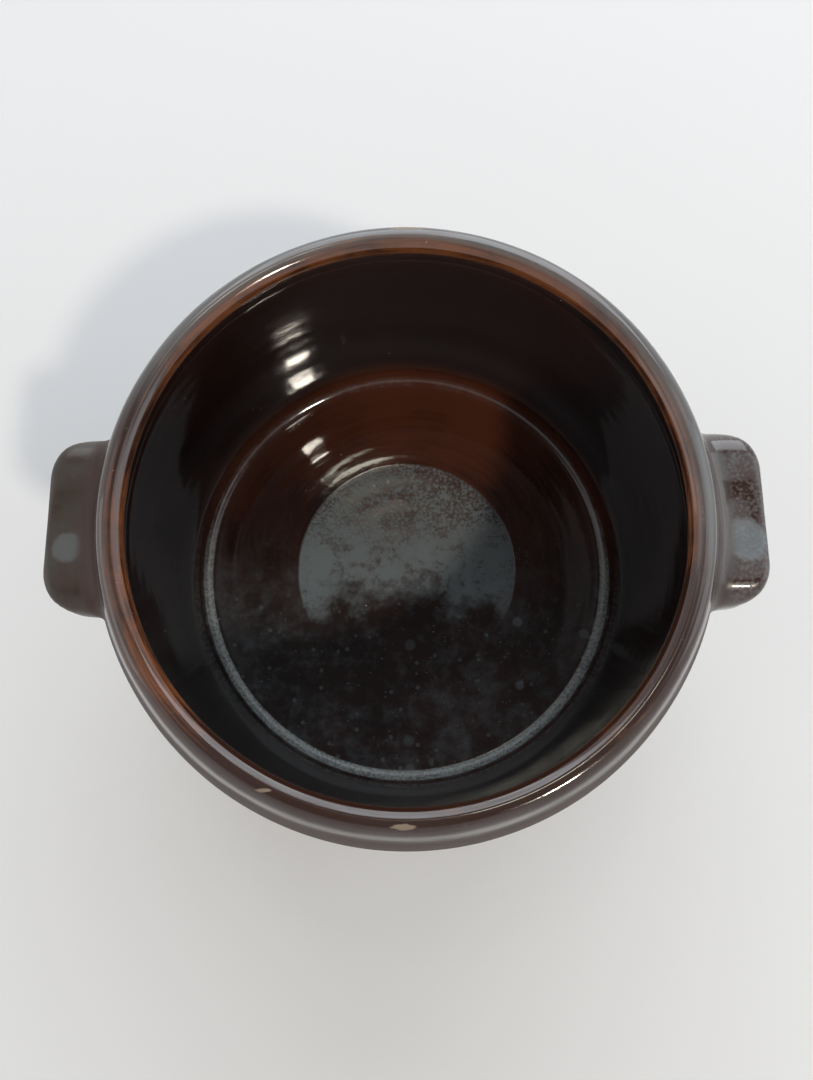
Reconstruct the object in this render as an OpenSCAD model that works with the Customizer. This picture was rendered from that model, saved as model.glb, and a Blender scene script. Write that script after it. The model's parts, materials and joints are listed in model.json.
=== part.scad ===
// Electric bean pot: a stoneware crock that lifts off a warming base.
// Millimetres, Z up, table at Z = 0, lugs along X, power inlet at +Y.

/* [Crock] */
// Largest outer radius, at the belly
belly_r = 94.2; // [90:0.1:104]
// How far the belly stands out past the lip
bulge = 6.2; // [3:0.1:12]
// Radius of the rounded lip
lip_rad = 4; // [3.7:0.1:6]
// Radius of the curve between belly and lip
shoulder_rad = 87.2; // [60:0.1:120]
// Radius of the curve of the side below the belly
side_rad = 450; // [300:10:900]
// Thickness of the wall
wall_t = 7.2; // [5:0.1:7.3]
// Height from foot to lip
crock_h = 130; // [122:1:160]
// Thickness of the floor over the hollow
floor_t = 11; // [7:0.5:20]
// Radius of the outer corner above the foot
heel_rad = 12; // [6:1:14]
// Radius of the inner corner round the floor
floor_rad = 6; // [3:0.5:12]
// Radius of the raised disc in the floor's middle
disc_r = 42; // [30:1:60]
// Rise of that disc
disc_rise = 0.4; // [0.2:0.1:2]
// Width of that disc's sloping edge
disc_edge = 4; // [1:0.5:6]
// Outer radius of the foot ring
ring_r = 74; // [70:0.5:75]
// Width of the foot ring
ring_w = 9; // [6:0.5:10]
// Height of the foot ring
ring_h = 5; // [4:0.5:8]
// Depth of the hollow inside the foot ring
hollow_d = 3; // [2:0.5:4.5]

/* [Lugs] */
// How far a lug stands out past the belly
lug_reach = 12.7; // [10:0.1:25]
// Length along the rim
lug_len = 54; // [40:1:70]
// Thickness at the outer edge
lug_t = 13; // [11:0.5:18]
// Extra thickness under the root
lug_root_t = 4; // [0:0.5:6]
// Corner radius seen from above
lug_corner = 13; // [6:0.5:15]
// Rounding of the long edges
lug_edge = 3; // [2:0.5:5.5]
// Rounding of the ends' top edges
lug_end_rad = 9; // [5:0.5:10]
// Drop of the middle below the lip's inner edge
lug_drop = 18; // [14:0.5:30]
// Distance of the thumb dish from the outer edge
dish_inset = 7.5; // [5:0.5:11]
// Radius of the sphere that makes the dish
dish_rad = 40; // [25:1:60]
// Depth of the dish
dish_d = 1.8; // [0.5:0.1:2.5]

/* [Base] */
// Height of the feet
foot_h = 9; // [8:0.5:16]
// Radius of a foot at the top
foot_r = 9; // [7:0.5:12]
// Distance of the feet inside the well's wall
foot_inset = 8.5; // [5:0.5:16]
// Height of the crock's ledge above the feet
ledge_rise = 27; // [27:0.5:34]
// How far the heat plate lies on the ledge
plate_lap = 5; // [3:0.5:8]
// Clearance between the foot ring and the well
well_gap = 2.5; // [1:0.5:4]
// Rise of the well's rim above the ledge
rim_rise = 3; // [2:0.5:4]
// Radius of the shell's shoulder
shell_rad = 8; // [5:0.5:12]
// Flare of the skirt in degrees
skirt_flare = 7; // [0:0.5:12]
// Thickness of the drawn sheet
sheet_t = 1; // [0.6:0.1:1.5]
// Number of vent places round the skirt
vent_count = 30; // [12:1:40]
// Width of a vent slot
vent_w = 4; // [2:0.5:6]
// Height of a vent slot
vent_h = 12; // [8:0.5:14]

/* [Heater] */
// Clearance between the heat plate and the foot ring
plate_gap = 2; // [1:0.5:5]
// Thickness of the heat plate
plate_t = 6.7; // [5:0.1:8]
// Radius of the element's ring
ring_place_r = 40; // [34:0.5:44]
// Radius of the element's tube
tube_r = 3.2; // [2.5:0.1:4]
// Depth of the tube in the plate
tube_sink = 1.7; // [1:0.1:2]
// Radius of the centre stud
stud_r = 3; // [2.5:0.25:4]
// Distance of the heat shield's edge inside the plate's opening
shield_inset = 6; // [4:0.5:12]

/* [Inlet] */
// Distance between the two pins
pin_pitch = 17.5; // [12:0.1:19]
// Radius of a pin
pin_r = 2.4; // [2:0.05:3]
// Length of a pin in front of its collar
pin_len = 16; // [12:0.5:16]
// Drop of the pins below the element
pin_drop = 8; // [7.7:0.1:8.5]
// Outer width of the guard
guard_w = 36; // [32:0.5:38]
// Outer height of the guard
guard_h = 18; // [15:0.5:18]
// Reach of the guard past the pins' tips
guard_cover = 1; // [0.5:0.25:1.5]

/* [Hidden] */
$fn = 64;
// clearances: a screwed or pushed fit, a cast groove, a cut hole
fit_gap = 0.1;
groove_gap = 0.3;
hole_gap = 0.5;
over = 1;

// Crock: the centres and end angles of its tangent arcs, with the foot at height 0
mouth_r = belly_r - bulge - 2 * lip_rad;
lip_edge_z = crock_h - lip_rad;
shoulder_end = acos(1 - bulge / (shoulder_rad - lip_rad));
belly_z = lip_edge_z - (shoulder_rad - lip_rad) * sin(shoulder_end);
shoulder_c = [belly_r - shoulder_rad, belly_z];
side_c = [belly_r - side_rad, belly_z];
lip_c = [mouth_r + lip_rad, lip_edge_z];
heel_end = asin((belly_z - heel_rad - ring_h) / (side_rad - heel_rad));
heel_c = side_c + (side_rad - heel_rad) * [cos(heel_end), -sin(heel_end)];
floor_z = hollow_d + floor_t;
floor_end = asin((belly_z - floor_rad - floor_z) / (side_rad - wall_t - floor_rad));
floor_c = side_c + (side_rad - wall_t - floor_rad) * [cos(floor_end), -sin(floor_end)];
// the lip is thicker than the wall, so its circle cuts the inside of the shoulder here
inner_rad = shoulder_rad - wall_t;
lip_reach = shoulder_rad - lip_rad;
crease = shoulder_end
    - acos((lip_reach * lip_reach + inner_rad * inner_rad - lip_rad * lip_rad) / (2 * lip_reach * inner_rad));
crease_p = shoulder_c + inner_rad * [cos(crease), sin(crease)];
lip_end = 360 + atan2(crease_p[1] - lip_c[1], crease_p[0] - lip_c[0]);
ring_chamfer = 1;
ledge_z = foot_h + ledge_rise;

// Lugs
lug_z = lip_edge_z - lug_drop;
lug_root_x = belly_r - wall_t;
lug_x = belly_r + lug_reach;
dish_x = lug_x - dish_inset;
lug_top_z = lug_z + lug_t / 2;

// Base
cover_t = 1;
cover_z = foot_h;
floor_top = cover_z + cover_t;
well_r = ring_r + well_gap;
plate_r = ring_r - ring_w - plate_gap;
opening_r = plate_r - plate_lap;
foot_place_r = well_r - foot_inset;
fold = 1;
rim_rad = rim_rise - fold;
shell_top = ledge_z + rim_rise;
shoulder_x = well_r + rim_rad;
shoulder_z = shell_top - shell_rad;
skirt_top = [shoulder_x + shell_rad * cos(skirt_flare), shoulder_z + shell_rad * sin(skirt_flare)];
hem_rad = 2;
skirt_foot = [skirt_top[0] + (skirt_top[1] - floor_top - hem_rad) * tan(skirt_flare), floor_top + hem_rad];
hem_w = 6;
cover_r = skirt_foot[0] - hem_rad - over;
vent_rise = 12;
vent_z = floor_top + vent_rise;
vent_clear_angle = 24;

// Heater
crock_gap = 0.3;
plate_top = ledge_z + hollow_d - crock_gap;
plate_bottom = plate_top - plate_t;
element_z = plate_bottom - tube_r + tube_sink;
boss_r = 8;
stud_cap = 2.5;
stud_top = plate_top - stud_cap;
clamp_t = 1.5;
clamp_top = element_z - tube_r;
clamp_z = clamp_top - clamp_t;
clamp_w = 10;
clamp_hub_r = 11;
clamp_angles = [0, 180, 270];
nut_h = 5;
nut_af = 10;
shield_t = 0.8;
shield_top = clamp_z - nut_h;
shield_z = shield_top - shield_t;
shield_r = opening_r - shield_inset;
shield_lip = 5;
washer_t = 1;
washer_r = 8;
stud_end = cover_z - washer_t - nut_h - over;

// Inlet and terminals, measured along Y from the axis
thread_r = 2;
head_r = 3.8;
head_h = 2.2;
small_nut_h = 2.4;
small_nut_af = 7;
strip_t = 0.8;
leg_inset = 22.5;
leg_end = well_r - leg_inset;
bushing_len = 3;
outer_nut_y = leg_end + bushing_len;
strip_y = outer_nut_y + small_nut_h;
inner_nut_y = strip_y + strip_t;
block_y = inner_nut_y + small_nut_h;
block_t = 12;
block_w = 48;
block_h = 12;
front_y = block_y + block_t;
collar_r = 4;
collar_t = 2;
pin_tip = 1.2;
guard_t = 1.2;
guard_plate_w = 50;
guard_foot_d = 13;
guard_end = front_y + collar_t + pin_len + guard_cover;
block_screw_x = 21;
block_head_r = 2.8;
block_head_h = 1.8;
guard_screw_x = 18;
guard_screw_y = front_y - 8;
ends_x = pin_pitch / 2;
pin_z = element_z - pin_drop;
guard_plate_h = pin_z + guard_h / 2 + 2 * guard_t - floor_top;
end_angle = asin(ends_x / ring_place_r);
leg_start = ring_place_r * cos(end_angle);
elbow_extra = 0.4;

// Thermostat: a stack of ceramic washers and blades under the heat plate
stack_x = -6;
stack_y = 23;
stack_r = 4.5;
blade_t = 0.6;
blade_w = 7;
insulator_t = [3, 2, 1.5];
carrier_z = plate_bottom - insulator_t[0] - blade_t;
contact_z = carrier_z - insulator_t[1] - blade_t;
stack_foot = contact_z - insulator_t[2];
stack_hole_r = 2.4;
stack_screw_r = 1.6;
stack_head_r = 3.5;
stack_head_h = 2;
carrier_end = 3;
strip_start = stack_x + stack_r + hole_gap;
bimetal_t = 0.8;
blade_end = 17;
button_x = 14.5;
button_r = 1.8;
button_h = 1;

// Leads
lead_r = 1.3;
barrel_r = 1.9;
barrel_bite = 0.3;
tab_w = 4;
lead_z = contact_z - barrel_r;
supply_x = -27;
element_lead_x = -21;
carrier_tab_y = 28;
barrel_y = strip_y - barrel_r + barrel_bite;
neck_z = lead_z + barrel_r - barrel_bite;
terminal_r = 3.8;
terminal_barrel_x = [-17, -13];
lead_end_x = -14;
supply_bend_r = 6;
rise_bend_r = (element_z - lead_z) / 2;
rise_y = 42;
turn_bend_r = 4;

// Point on the circle of radius r about c at angle a
function on_circle(c, r, a) = c + r * [cos(a), sin(a)];

// Points on an arc about c from angle a0 to a1, the first one left out in arc_on
function arc(c, r, a0, a1, n) = concat([on_circle(c, r, a0)], arc_on(c, r, a0, a1, n));
function arc_on(c, r, a0, a1, n) = [for (i = [1:n]) on_circle(c, r, a0 + (a1 - a0) * i / n)];

// Unit vector from p to q
function unit(p, q) = (q - p) / norm(q - p);

// The line moved by t to its right-hand side, mitred at each corner
function side_line(p, t) = [for (i = [0:len(p) - 1])
    let (u = i == 0 ? unit(p[0], p[1]) : unit(p[i - 1], p[i]))
    let (v = i == len(p) - 1 ? u : unit(p[i], p[i + 1]))
    let (n = [u[1] + v[1], -u[0] - v[0]])
    p[i] + n * 2 * t / (n * n)];

function reversed(p) = [for (i = [len(p) - 1:-1:0]) p[i]];

// Slot outline of overall size l by w, long way along X
module slot(l, w) {
    polygon(concat(arc([(l - w) / 2, 0], w / 2, -90, 90, 8), arc([-(l - w) / 2, 0], w / 2, 90, 270, 8)));
}

// Round hole or rod of length l from y along Y
module along_y(x, y, z, r, l) {
    translate([x, y, z]) rotate([-90, 0, 0]) cylinder(r = r, h = l);
}

// Hexagonal nut standing on Z = 0, flats facing X
module nut(af, h, hole) {
    difference() {
        rotate([0, 0, 30]) cylinder(r = af / sqrt(3), h = h, $fn = 6);
        translate([0, 0, -over]) cylinder(r = hole, h = h + 2 * over);
    }
}

// Screw with a domed slotted head under Z = 0 and its shank above
module screw(head_r, head_h, shank_r, shank_len) {
    cap_rad = (head_r * head_r + head_h * head_h) / (2 * head_h);
    slot_w = head_r / 3;
    difference() {
        intersection() {
            translate([0, 0, cap_rad - head_h]) sphere(r = cap_rad);
            translate([0, 0, -head_h]) cylinder(r = head_r + over, h = head_h);
        }
        translate([-head_r, -slot_w / 2, -head_h - over]) cube([2 * head_r, slot_w, over + head_h / 2]);
    }
    cylinder(r = shank_r, h = shank_len);
}

// Round lead along a list of steps: [length] runs straight, [radius, angle, direction] bends
module lead(steps, i = 0) {
    if (i < len(steps)) {
        step = steps[i];
        if (len(step) == 1) {
            cylinder(r = lead_r, h = step[0]);
            translate([0, 0, step[0]]) lead(steps, i + 1);
        } else {
            rotate([0, 0, step[2]]) {
                translate([step[0], 0, 0]) rotate([90, 0, 0]) rotate([0, 0, 180 - step[1]])
                    rotate_extrude(angle = step[1]) translate([step[0], 0]) circle(r = lead_r);
                translate([step[0] * (1 - cos(step[1])), 0, step[0] * sin(step[1])])
                    rotate([0, step[1], 0]) rotate([0, 0, -step[2]]) lead(steps, i + 1);
            }
        }
    }
}

// Crimp barrel of length l along local Z, standing on Z = 0
module barrel(l) {
    difference() {
        cylinder(r = barrel_r, h = l);
        translate([0, 0, -over]) cylinder(r = lead_r + fit_gap, h = l + 2 * over);
    }
}

module crock_body() {
    rotate_extrude(angle = 360) polygon(concat(
        [[0, hollow_d], [ring_r - ring_w - ring_chamfer, hollow_d], [ring_r - ring_w, ring_chamfer],
            [ring_r - ring_w + ring_chamfer, 0], [ring_r - ring_chamfer, 0], [ring_r, ring_chamfer],
            [ring_r, ring_h]],
        arc(heel_c, heel_rad, -90, -heel_end, 8),
        arc_on(side_c, side_rad, -heel_end, 0, 6),
        arc_on(shoulder_c, shoulder_rad, 0, shoulder_end, 8),
        arc_on(lip_c, lip_rad, shoulder_end, lip_end, 17),
        arc_on(shoulder_c, inner_rad, crease, 0, 6),
        arc_on(side_c, side_rad - wall_t, 0, -floor_end, 6),
        arc_on(floor_c, floor_rad, -floor_end, -90, 7),
        [[disc_r, floor_z], [disc_r - disc_edge, floor_z + disc_rise], [0, floor_z + disc_rise]]));
}

// One lug: its outlines seen from above, from the side and from the end, with the dish cut out
module lug() {
    half = lug_len / 2;
    reach = lug_x - lug_root_x;
    low = lug_z - lug_t / 2;
    difference() {
        intersection() {
            translate([0, 0, low - lug_root_t - over]) linear_extrude(lug_t + lug_root_t + 2 * over)
                polygon(concat([[lug_root_x, -half]],
                    arc([lug_x - lug_corner, lug_corner - half], lug_corner, -90, 0, 6),
                    arc([lug_x - lug_corner, half - lug_corner], lug_corner, 0, 90, 6),
                    [[lug_root_x, half]]));
            translate([0, half + over, 0]) rotate([90, 0, 0]) linear_extrude(lug_len + 2 * over)
                polygon(concat([[lug_root_x, low - lug_root_t]],
                    arc([lug_x - lug_edge, low + lug_edge], lug_edge, -90, 0, 5),
                    arc([lug_x - lug_edge, lug_top_z - lug_edge], lug_edge, 0, 90, 5),
                    [[lug_root_x, lug_top_z]]));
            translate([lug_root_x, 0, 0]) rotate([90, 0, 90]) linear_extrude(reach + over)
                polygon(concat(
                    arc([half - lug_edge, low - lug_root_t + lug_edge], lug_edge, -90, 0, 5),
                    arc([half - lug_end_rad, lug_top_z - lug_end_rad], lug_end_rad, 0, 90, 7),
                    arc([lug_end_rad - half, lug_top_z - lug_end_rad], lug_end_rad, 90, 180, 7),
                    arc([lug_edge - half, low - lug_root_t + lug_edge], lug_edge, 180, 270, 5)));
        }
        translate([dish_x, 0, lug_top_z - dish_d + dish_rad]) sphere(r = dish_rad);
    }
}

module crock() {
    color("#2a150c") translate([0, 0, ledge_z]) {
        crock_body();
        for (side = [0, 180]) rotate([0, 0, side]) lug();
    }
}

module base_shell() {
    outside = concat(
        [[opening_r, ledge_z], [well_r - fold, ledge_z]],
        arc([well_r + rim_rad, shell_top - rim_rad], rim_rad, 180, 90, 6),
        arc_on([shoulder_x, shoulder_z], shell_rad, 90, skirt_flare, 7),
        arc([skirt_foot[0] - hem_rad, skirt_foot[1]], hem_rad, 0, -90, 4),
        [[skirt_foot[0] - hem_rad - hem_w, floor_top]]);
    color("#3b2a20") difference() {
        rotate_extrude(angle = 360) polygon(concat(outside, reversed(side_line(outside, sheet_t))));
        for (i = [0:vent_count - 1])
            let (a = 360 * i / vent_count)
            if (abs(a - 90) > vent_clear_angle)
                rotate([0, 0, a]) translate([shoulder_x, 0, vent_z]) rotate([0, 90, 0])
                    linear_extrude(2 * shell_rad) slot(vent_h, vent_w);
        translate([0, front_y, pin_z]) rotate([-90, 0, 0])
            linear_extrude(guard_end) slot(guard_w + 2 * hole_gap, guard_h + 2 * hole_gap);
    }
}

// The element's run as a rod of radius r: a ring, two elbows and two legs that end at leg_y
module element_rod(r, leg_y) {
    translate([0, 0, element_z]) {
        rotate([0, 0, 90 + end_angle]) rotate_extrude(angle = 360 - 2 * end_angle)
            translate([ring_place_r, 0]) circle(r = r);
        for (x = [-ends_x, ends_x]) {
            translate([x, leg_start, 0]) sphere(r = r + elbow_extra);
            along_y(x, leg_start, 0, r, leg_y - leg_start);
        }
    }
}

module heat_plate() {
    flute_w = 2;
    flute_d = 0.8;
    color("#a9adb0") difference() {
        union() {
            translate([0, 0, ledge_z]) cylinder(r = plate_r, h = plate_top - ledge_z);
            translate([0, 0, plate_bottom]) cylinder(r = opening_r - hole_gap, h = ledge_z - plate_bottom);
            translate([0, 0, clamp_top + groove_gap]) cylinder(r = boss_r, h = ledge_z - clamp_top - groove_gap);
        }
        element_rod(tube_r + groove_gap, opening_r + over);
        translate([0, 0, clamp_top]) cylinder(r = stud_r + fit_gap, h = stud_top - clamp_top);
        translate([stack_x, stack_y, plate_bottom - over])
            cylinder(r = stack_screw_r + fit_gap, h = over + plate_t / 2);
        for (r = [plate_r / 4, plate_r / 2, plate_r * 3 / 4])
            translate([0, 0, plate_top - flute_d]) difference() {
                cylinder(r = r + flute_w / 2, h = flute_d + over);
                translate([0, 0, -over]) cylinder(r = r - flute_w / 2, h = flute_d + 3 * over);
            }
    }
}

module heating_element() {
    color("#4d4a46") element_rod(tube_r, leg_end);
}

module element_studs() {
    color("#c9c4b4") for (x = [-ends_x, ends_x])
        along_y(x, leg_end, element_z, thread_r, block_y - leg_end - fit_gap);
}

module element_bushings() {
    color("#e4dfd2") for (x = [-ends_x, ends_x]) difference() {
        along_y(x, leg_end, element_z, tube_r - fit_gap, bushing_len);
        along_y(x, leg_end - over, element_z, thread_r + fit_gap, bushing_len + 2 * over);
    }
}

module element_clamp() {
    tip_x = ring_place_r + tube_r + groove_gap;
    color("#8d8f92") translate([0, 0, clamp_z]) {
        linear_extrude(clamp_t) difference() {
            union() {
                circle(r = clamp_hub_r);
                for (a = clamp_angles) rotate([0, 0, a])
                    translate([0, -clamp_w / 2]) square([tip_x + clamp_t, clamp_w]);
            }
            circle(r = stud_r + fit_gap);
        }
        for (a = clamp_angles) rotate([0, 0, a])
            translate([tip_x, -clamp_w / 2, 0]) cube([clamp_t, clamp_w, clamp_t + tube_r]);
    }
}

module center_stud() {
    color("#b9bcbf") translate([0, 0, stud_end]) cylinder(r = stud_r, h = stud_top - stud_end);
}

module clamp_nut() {
    color("#c4c6c8") translate([0, 0, clamp_z - nut_h]) nut(nut_af, nut_h, stud_r + fit_gap);
}

module heat_shield() {
    color("#b7babd") difference() {
        translate([0, 0, shield_top - shield_lip]) cylinder(r = shield_r, h = shield_lip);
        translate([0, 0, shield_z - shield_lip]) cylinder(r = shield_r - shield_t, h = shield_lip);
        translate([0, 0, shield_z - over]) cylinder(r = stud_r + fit_gap, h = shield_t + 2 * over);
    }
}

module shield_nut() {
    color("#c4c6c8") translate([0, 0, shield_z - nut_h]) nut(nut_af, nut_h, stud_r + fit_gap);
}

// Places of the three feet, the first one at the front
function foot_place(i) = foot_place_r * [cos(270 + 120 * i), sin(270 + 120 * i)];

module bottom_cover() {
    slot_count = 18;
    slot_len = 16;
    slot_mid_r = 46;
    color("#55504b") translate([0, 0, cover_z]) linear_extrude(cover_t) difference() {
        circle(r = cover_r);
        circle(r = stud_r + hole_gap);
        for (i = [0:slot_count - 1]) rotate([0, 0, 360 * i / slot_count])
            translate([slot_mid_r, 0]) slot(slot_len, vent_w);
        for (i = [0:2]) translate(foot_place(i)) circle(r = thread_r + fit_gap);
        for (x = [-guard_screw_x, guard_screw_x]) translate([x, guard_screw_y]) circle(r = thread_r + fit_gap);
    }
}

module cover_washer() {
    color("#c4c6c8") translate([0, 0, cover_z - washer_t]) difference() {
        cylinder(r = washer_r, h = washer_t);
        translate([0, 0, -over]) cylinder(r = stud_r + fit_gap, h = washer_t + 2 * over);
    }
}

module cover_nut() {
    color("#c4c6c8") translate([0, 0, cover_z - washer_t - nut_h]) nut(nut_af, nut_h, stud_r + fit_gap);
}

// Rubber foot with a recess for its screw
module foot(i) {
    toe_r = foot_r - 1.5;
    recess_r = 4.6;
    toe_round = 1;
    color("#1c1a19") translate(concat(foot_place(i), [0])) difference() {
        rotate_extrude(angle = 360) polygon(concat([[0, 0]],
            arc([toe_r - toe_round, toe_round], toe_round, -90, 0, 4), [[foot_r, foot_h], [0, foot_h]]));
        translate([0, 0, -over]) cylinder(r = recess_r, h = over + foot_h / 2);
        cylinder(r = thread_r + fit_gap, h = foot_h + over);
    }
}

module front_foot() {
    foot(0);
}

module right_foot() {
    foot(1);
}

module left_foot() {
    foot(2);
}

module foot_screws() {
    color("#b9bcbf") for (i = [0:2]) translate(concat(foot_place(i), [foot_h / 2]))
        screw(head_r, head_h, thread_r, foot_h);
}

module stack_insulators() {
    tops = [plate_bottom, carrier_z, contact_z];
    color("#e9e4d6") for (i = [0:2]) translate([stack_x, stack_y, tops[i] - insulator_t[i]]) difference() {
        cylinder(r = stack_r, h = insulator_t[i]);
        translate([0, 0, -over]) cylinder(r = stack_screw_r + fit_gap, h = insulator_t[i] + 2 * over);
    }
}

module stack_screw() {
    color("#b9bcbf") translate([stack_x, stack_y, stack_foot])
        screw(stack_head_r, stack_head_h, stack_screw_r, plate_bottom - stack_foot + plate_t / 3);
}

// Blade outline from x0 to x1 with the stack's hole
module blade(x0, x1) {
    difference() {
        translate([x0, stack_y - blade_w / 2]) square([x1 - x0, blade_w]);
        translate([stack_x, stack_y]) circle(r = stack_hole_r);
    }
}

module blade_carrier() {
    color("#c9a24a") {
        translate([0, 0, carrier_z]) linear_extrude(blade_t) {
            blade(stack_x - stack_r, carrier_end);
            translate([element_lead_x - blade_t / 2, carrier_tab_y - tab_w / 2])
                square([stack_x - element_lead_x, tab_w]);
        }
        translate([element_lead_x - blade_t / 2, carrier_tab_y - tab_w / 2, neck_z])
            cube([blade_t, tab_w, carrier_z - neck_z + blade_t / 2]);
        translate([element_lead_x, carrier_tab_y - tab_w / 2, lead_z]) rotate([-90, 0, 0]) barrel(tab_w);
    }
}

module bimetal_blade() {
    strip_z = carrier_z + blade_t;
    gap_z = contact_z + blade_t + button_h;
    color("#b0a48c") {
        translate([strip_start, stack_y - blade_w / 2, strip_z]) cube([blade_end - strip_start, blade_w, bimetal_t]);
        translate([button_x, stack_y, gap_z]) cylinder(r = button_r, h = strip_z - gap_z + bimetal_t / 2);
    }
}

module contact_blade() {
    color("#c9a24a") {
        translate([0, 0, contact_z]) linear_extrude(blade_t) {
            blade(stack_x - stack_r, blade_end);
            translate([supply_x - blade_t / 2, stack_y - tab_w / 2])
                square([stack_x - stack_r - supply_x + blade_t, tab_w]);
        }
        translate([button_x, stack_y, contact_z]) cylinder(r = button_r, h = blade_t + button_h);
        translate([supply_x - blade_t / 2, stack_y - tab_w / 2, neck_z])
            cube([blade_t, tab_w, contact_z - neck_z + blade_t / 2]);
        translate([supply_x, stack_y - tab_w / 2, lead_z]) rotate([-90, 0, 0]) barrel(tab_w);
    }
}

module terminal_block() {
    color("#e4dfd2") difference() {
        translate([-block_w / 2, block_y, pin_z - block_h / 2]) cube([block_w, block_t, block_h]);
        for (x = [-ends_x, ends_x]) along_y(x, block_y - over, pin_z, thread_r + fit_gap, block_t + 2 * over);
        for (x = [-block_screw_x, block_screw_x])
            along_y(x, block_y - over, pin_z, thread_r - fit_gap, block_t + 2 * over);
    }
}

// Inlet pin with a thread behind the block, a collar and a tapered tip in front
module inlet_pin(x) {
    color("#c9ccce") {
        along_y(x, outer_nut_y - over, pin_z, thread_r, front_y + collar_t - outer_nut_y + over);
        along_y(x, front_y, pin_z, collar_r, collar_t);
        along_y(x, front_y, pin_z, pin_r, collar_t + pin_len - pin_tip);
        translate([x, front_y + collar_t + pin_len - pin_tip, pin_z]) rotate([-90, 0, 0])
            cylinder(r1 = pin_r, r2 = pin_r - pin_tip, h = pin_tip);
    }
}

module live_pin() {
    inlet_pin(-ends_x);
}

module neutral_pin() {
    inlet_pin(ends_x);
}

module inlet_guard() {
    color("#9b9ea1") difference() {
        union() {
            translate([0, front_y, pin_z]) rotate([-90, 0, 0])
                linear_extrude(guard_end - front_y) slot(guard_w, guard_h);
            translate([-guard_plate_w / 2, front_y, floor_top]) cube([guard_plate_w, guard_t, guard_plate_h]);
            translate([-guard_plate_w / 2, front_y + guard_t - guard_foot_d, floor_top])
                cube([guard_plate_w, guard_foot_d, guard_t]);
        }
        translate([0, front_y - over, pin_z]) rotate([-90, 0, 0])
            linear_extrude(guard_end) slot(guard_w - 2 * guard_t, guard_h - 2 * guard_t);
        for (x = [-block_screw_x, block_screw_x])
            along_y(x, front_y - over, pin_z, thread_r - fit_gap, guard_t + 2 * over);
        for (x = [-guard_screw_x, guard_screw_x]) translate([x, guard_screw_y, floor_top - over])
            cylinder(r = thread_r + fit_gap, h = guard_t + 2 * over);
    }
}

module block_screws() {
    color("#b9bcbf") for (x = [-block_screw_x, block_screw_x]) translate([x, block_y, pin_z])
        rotate([-90, 0, 0]) screw(block_head_r, block_head_h, thread_r - 2 * fit_gap, block_t + 2 * guard_t);
}

module guard_screws() {
    color("#b9bcbf") for (x = [-guard_screw_x, guard_screw_x]) translate([x, guard_screw_y, cover_z])
        screw(head_r, head_h, thread_r, cover_t + 3 * guard_t);
}

module neutral_strap() {
    reach = small_nut_af / 2 + over;
    color("#b9a06a") translate([ends_x, inner_nut_y, 0]) rotate([90, 0, 0]) linear_extrude(strip_t) difference() {
        translate([-reach, pin_z - reach]) square([2 * reach, element_z - pin_z + 2 * reach - over]);
        for (z = [pin_z, element_z]) translate([0, z]) circle(r = thread_r + fit_gap);
    }
}

module supply_lead() {
    run_y = barrel_y - supply_bend_r - stack_y + tab_w / 2;
    color("#8c2f22") translate([supply_x, stack_y - tab_w / 2, lead_z]) rotate([-90, 0, 0])
        lead([[run_y], [supply_bend_r, 90, 0], [lead_end_x - supply_x - supply_bend_r]]);
}

module element_lead() {
    start_y = carrier_tab_y - tab_w / 2;
    color("#d8d2c0") translate([element_lead_x, start_y, lead_z]) rotate([-90, 0, 0])
        lead([[rise_y - start_y], [rise_bend_r, 90, -90], [rise_bend_r, 90, 90],
            [barrel_y - turn_bend_r - rise_y - 2 * rise_bend_r], [turn_bend_r, 90, 0],
            [lead_end_x - element_lead_x - turn_bend_r]]);
}

// Ring terminal on the stud at height z, its barrel at height bz
module ring_terminal(z, bz) {
    low = min(z, bz) - barrel_r;
    translate([0, inner_nut_y, 0]) rotate([90, 0, 0]) linear_extrude(strip_t) difference() {
        union() {
            translate([-ends_x, z]) circle(r = terminal_r);
            translate([terminal_barrel_x[0], low])
                square([-ends_x - thread_r - over - terminal_barrel_x[0], abs(bz - z) + 2 * barrel_r]);
        }
        translate([-ends_x, z]) circle(r = thread_r + fit_gap);
    }
    translate([terminal_barrel_x[0], barrel_y, bz]) rotate([0, 90, 0])
        barrel(terminal_barrel_x[1] - terminal_barrel_x[0]);
}

module ring_terminals() {
    color("#c8b05a") {
        ring_terminal(pin_z, lead_z);
        ring_terminal(element_z, element_z);
    }
}

module terminal_nuts() {
    color("#c8b05a") for (x = [-ends_x, ends_x], z = [pin_z, element_z], y = [outer_nut_y, inner_nut_y])
        translate([x, y, z]) rotate([-90, 0, 0]) rotate([0, 0, 90]) nut(small_nut_af, small_nut_h, thread_r + fit_gap);
}

crock();
base_shell();
heat_plate();
heating_element();
element_studs();
element_bushings();
element_clamp();
center_stud();
clamp_nut();
heat_shield();
shield_nut();
bottom_cover();
cover_washer();
cover_nut();
front_foot();
left_foot();
right_foot();
foot_screws();
stack_insulators();
stack_screw();
blade_carrier();
bimetal_blade();
contact_blade();
terminal_block();
live_pin();
neutral_pin();
inlet_guard();
block_screws();
guard_screws();
neutral_strap();
supply_lead();
element_lead();
ring_terminals();
terminal_nuts();
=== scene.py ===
"""Looks of an electric bean pot: a glazed stoneware crock on a vented warming base.

The crock is turned and its lugs are pulled out of the wall here; the base keeps its machined shapes and gets
its finishes. All lengths are metres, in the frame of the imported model: Z up, lugs along X, power inlet at +Y.
"""

from __future__ import annotations

import json
import logging
import math
from dataclasses import dataclass
from enum import Enum
from typing import Any, Mapping, Protocol, Sequence, Union

import bmesh
import bpy
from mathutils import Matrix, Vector, noise

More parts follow.
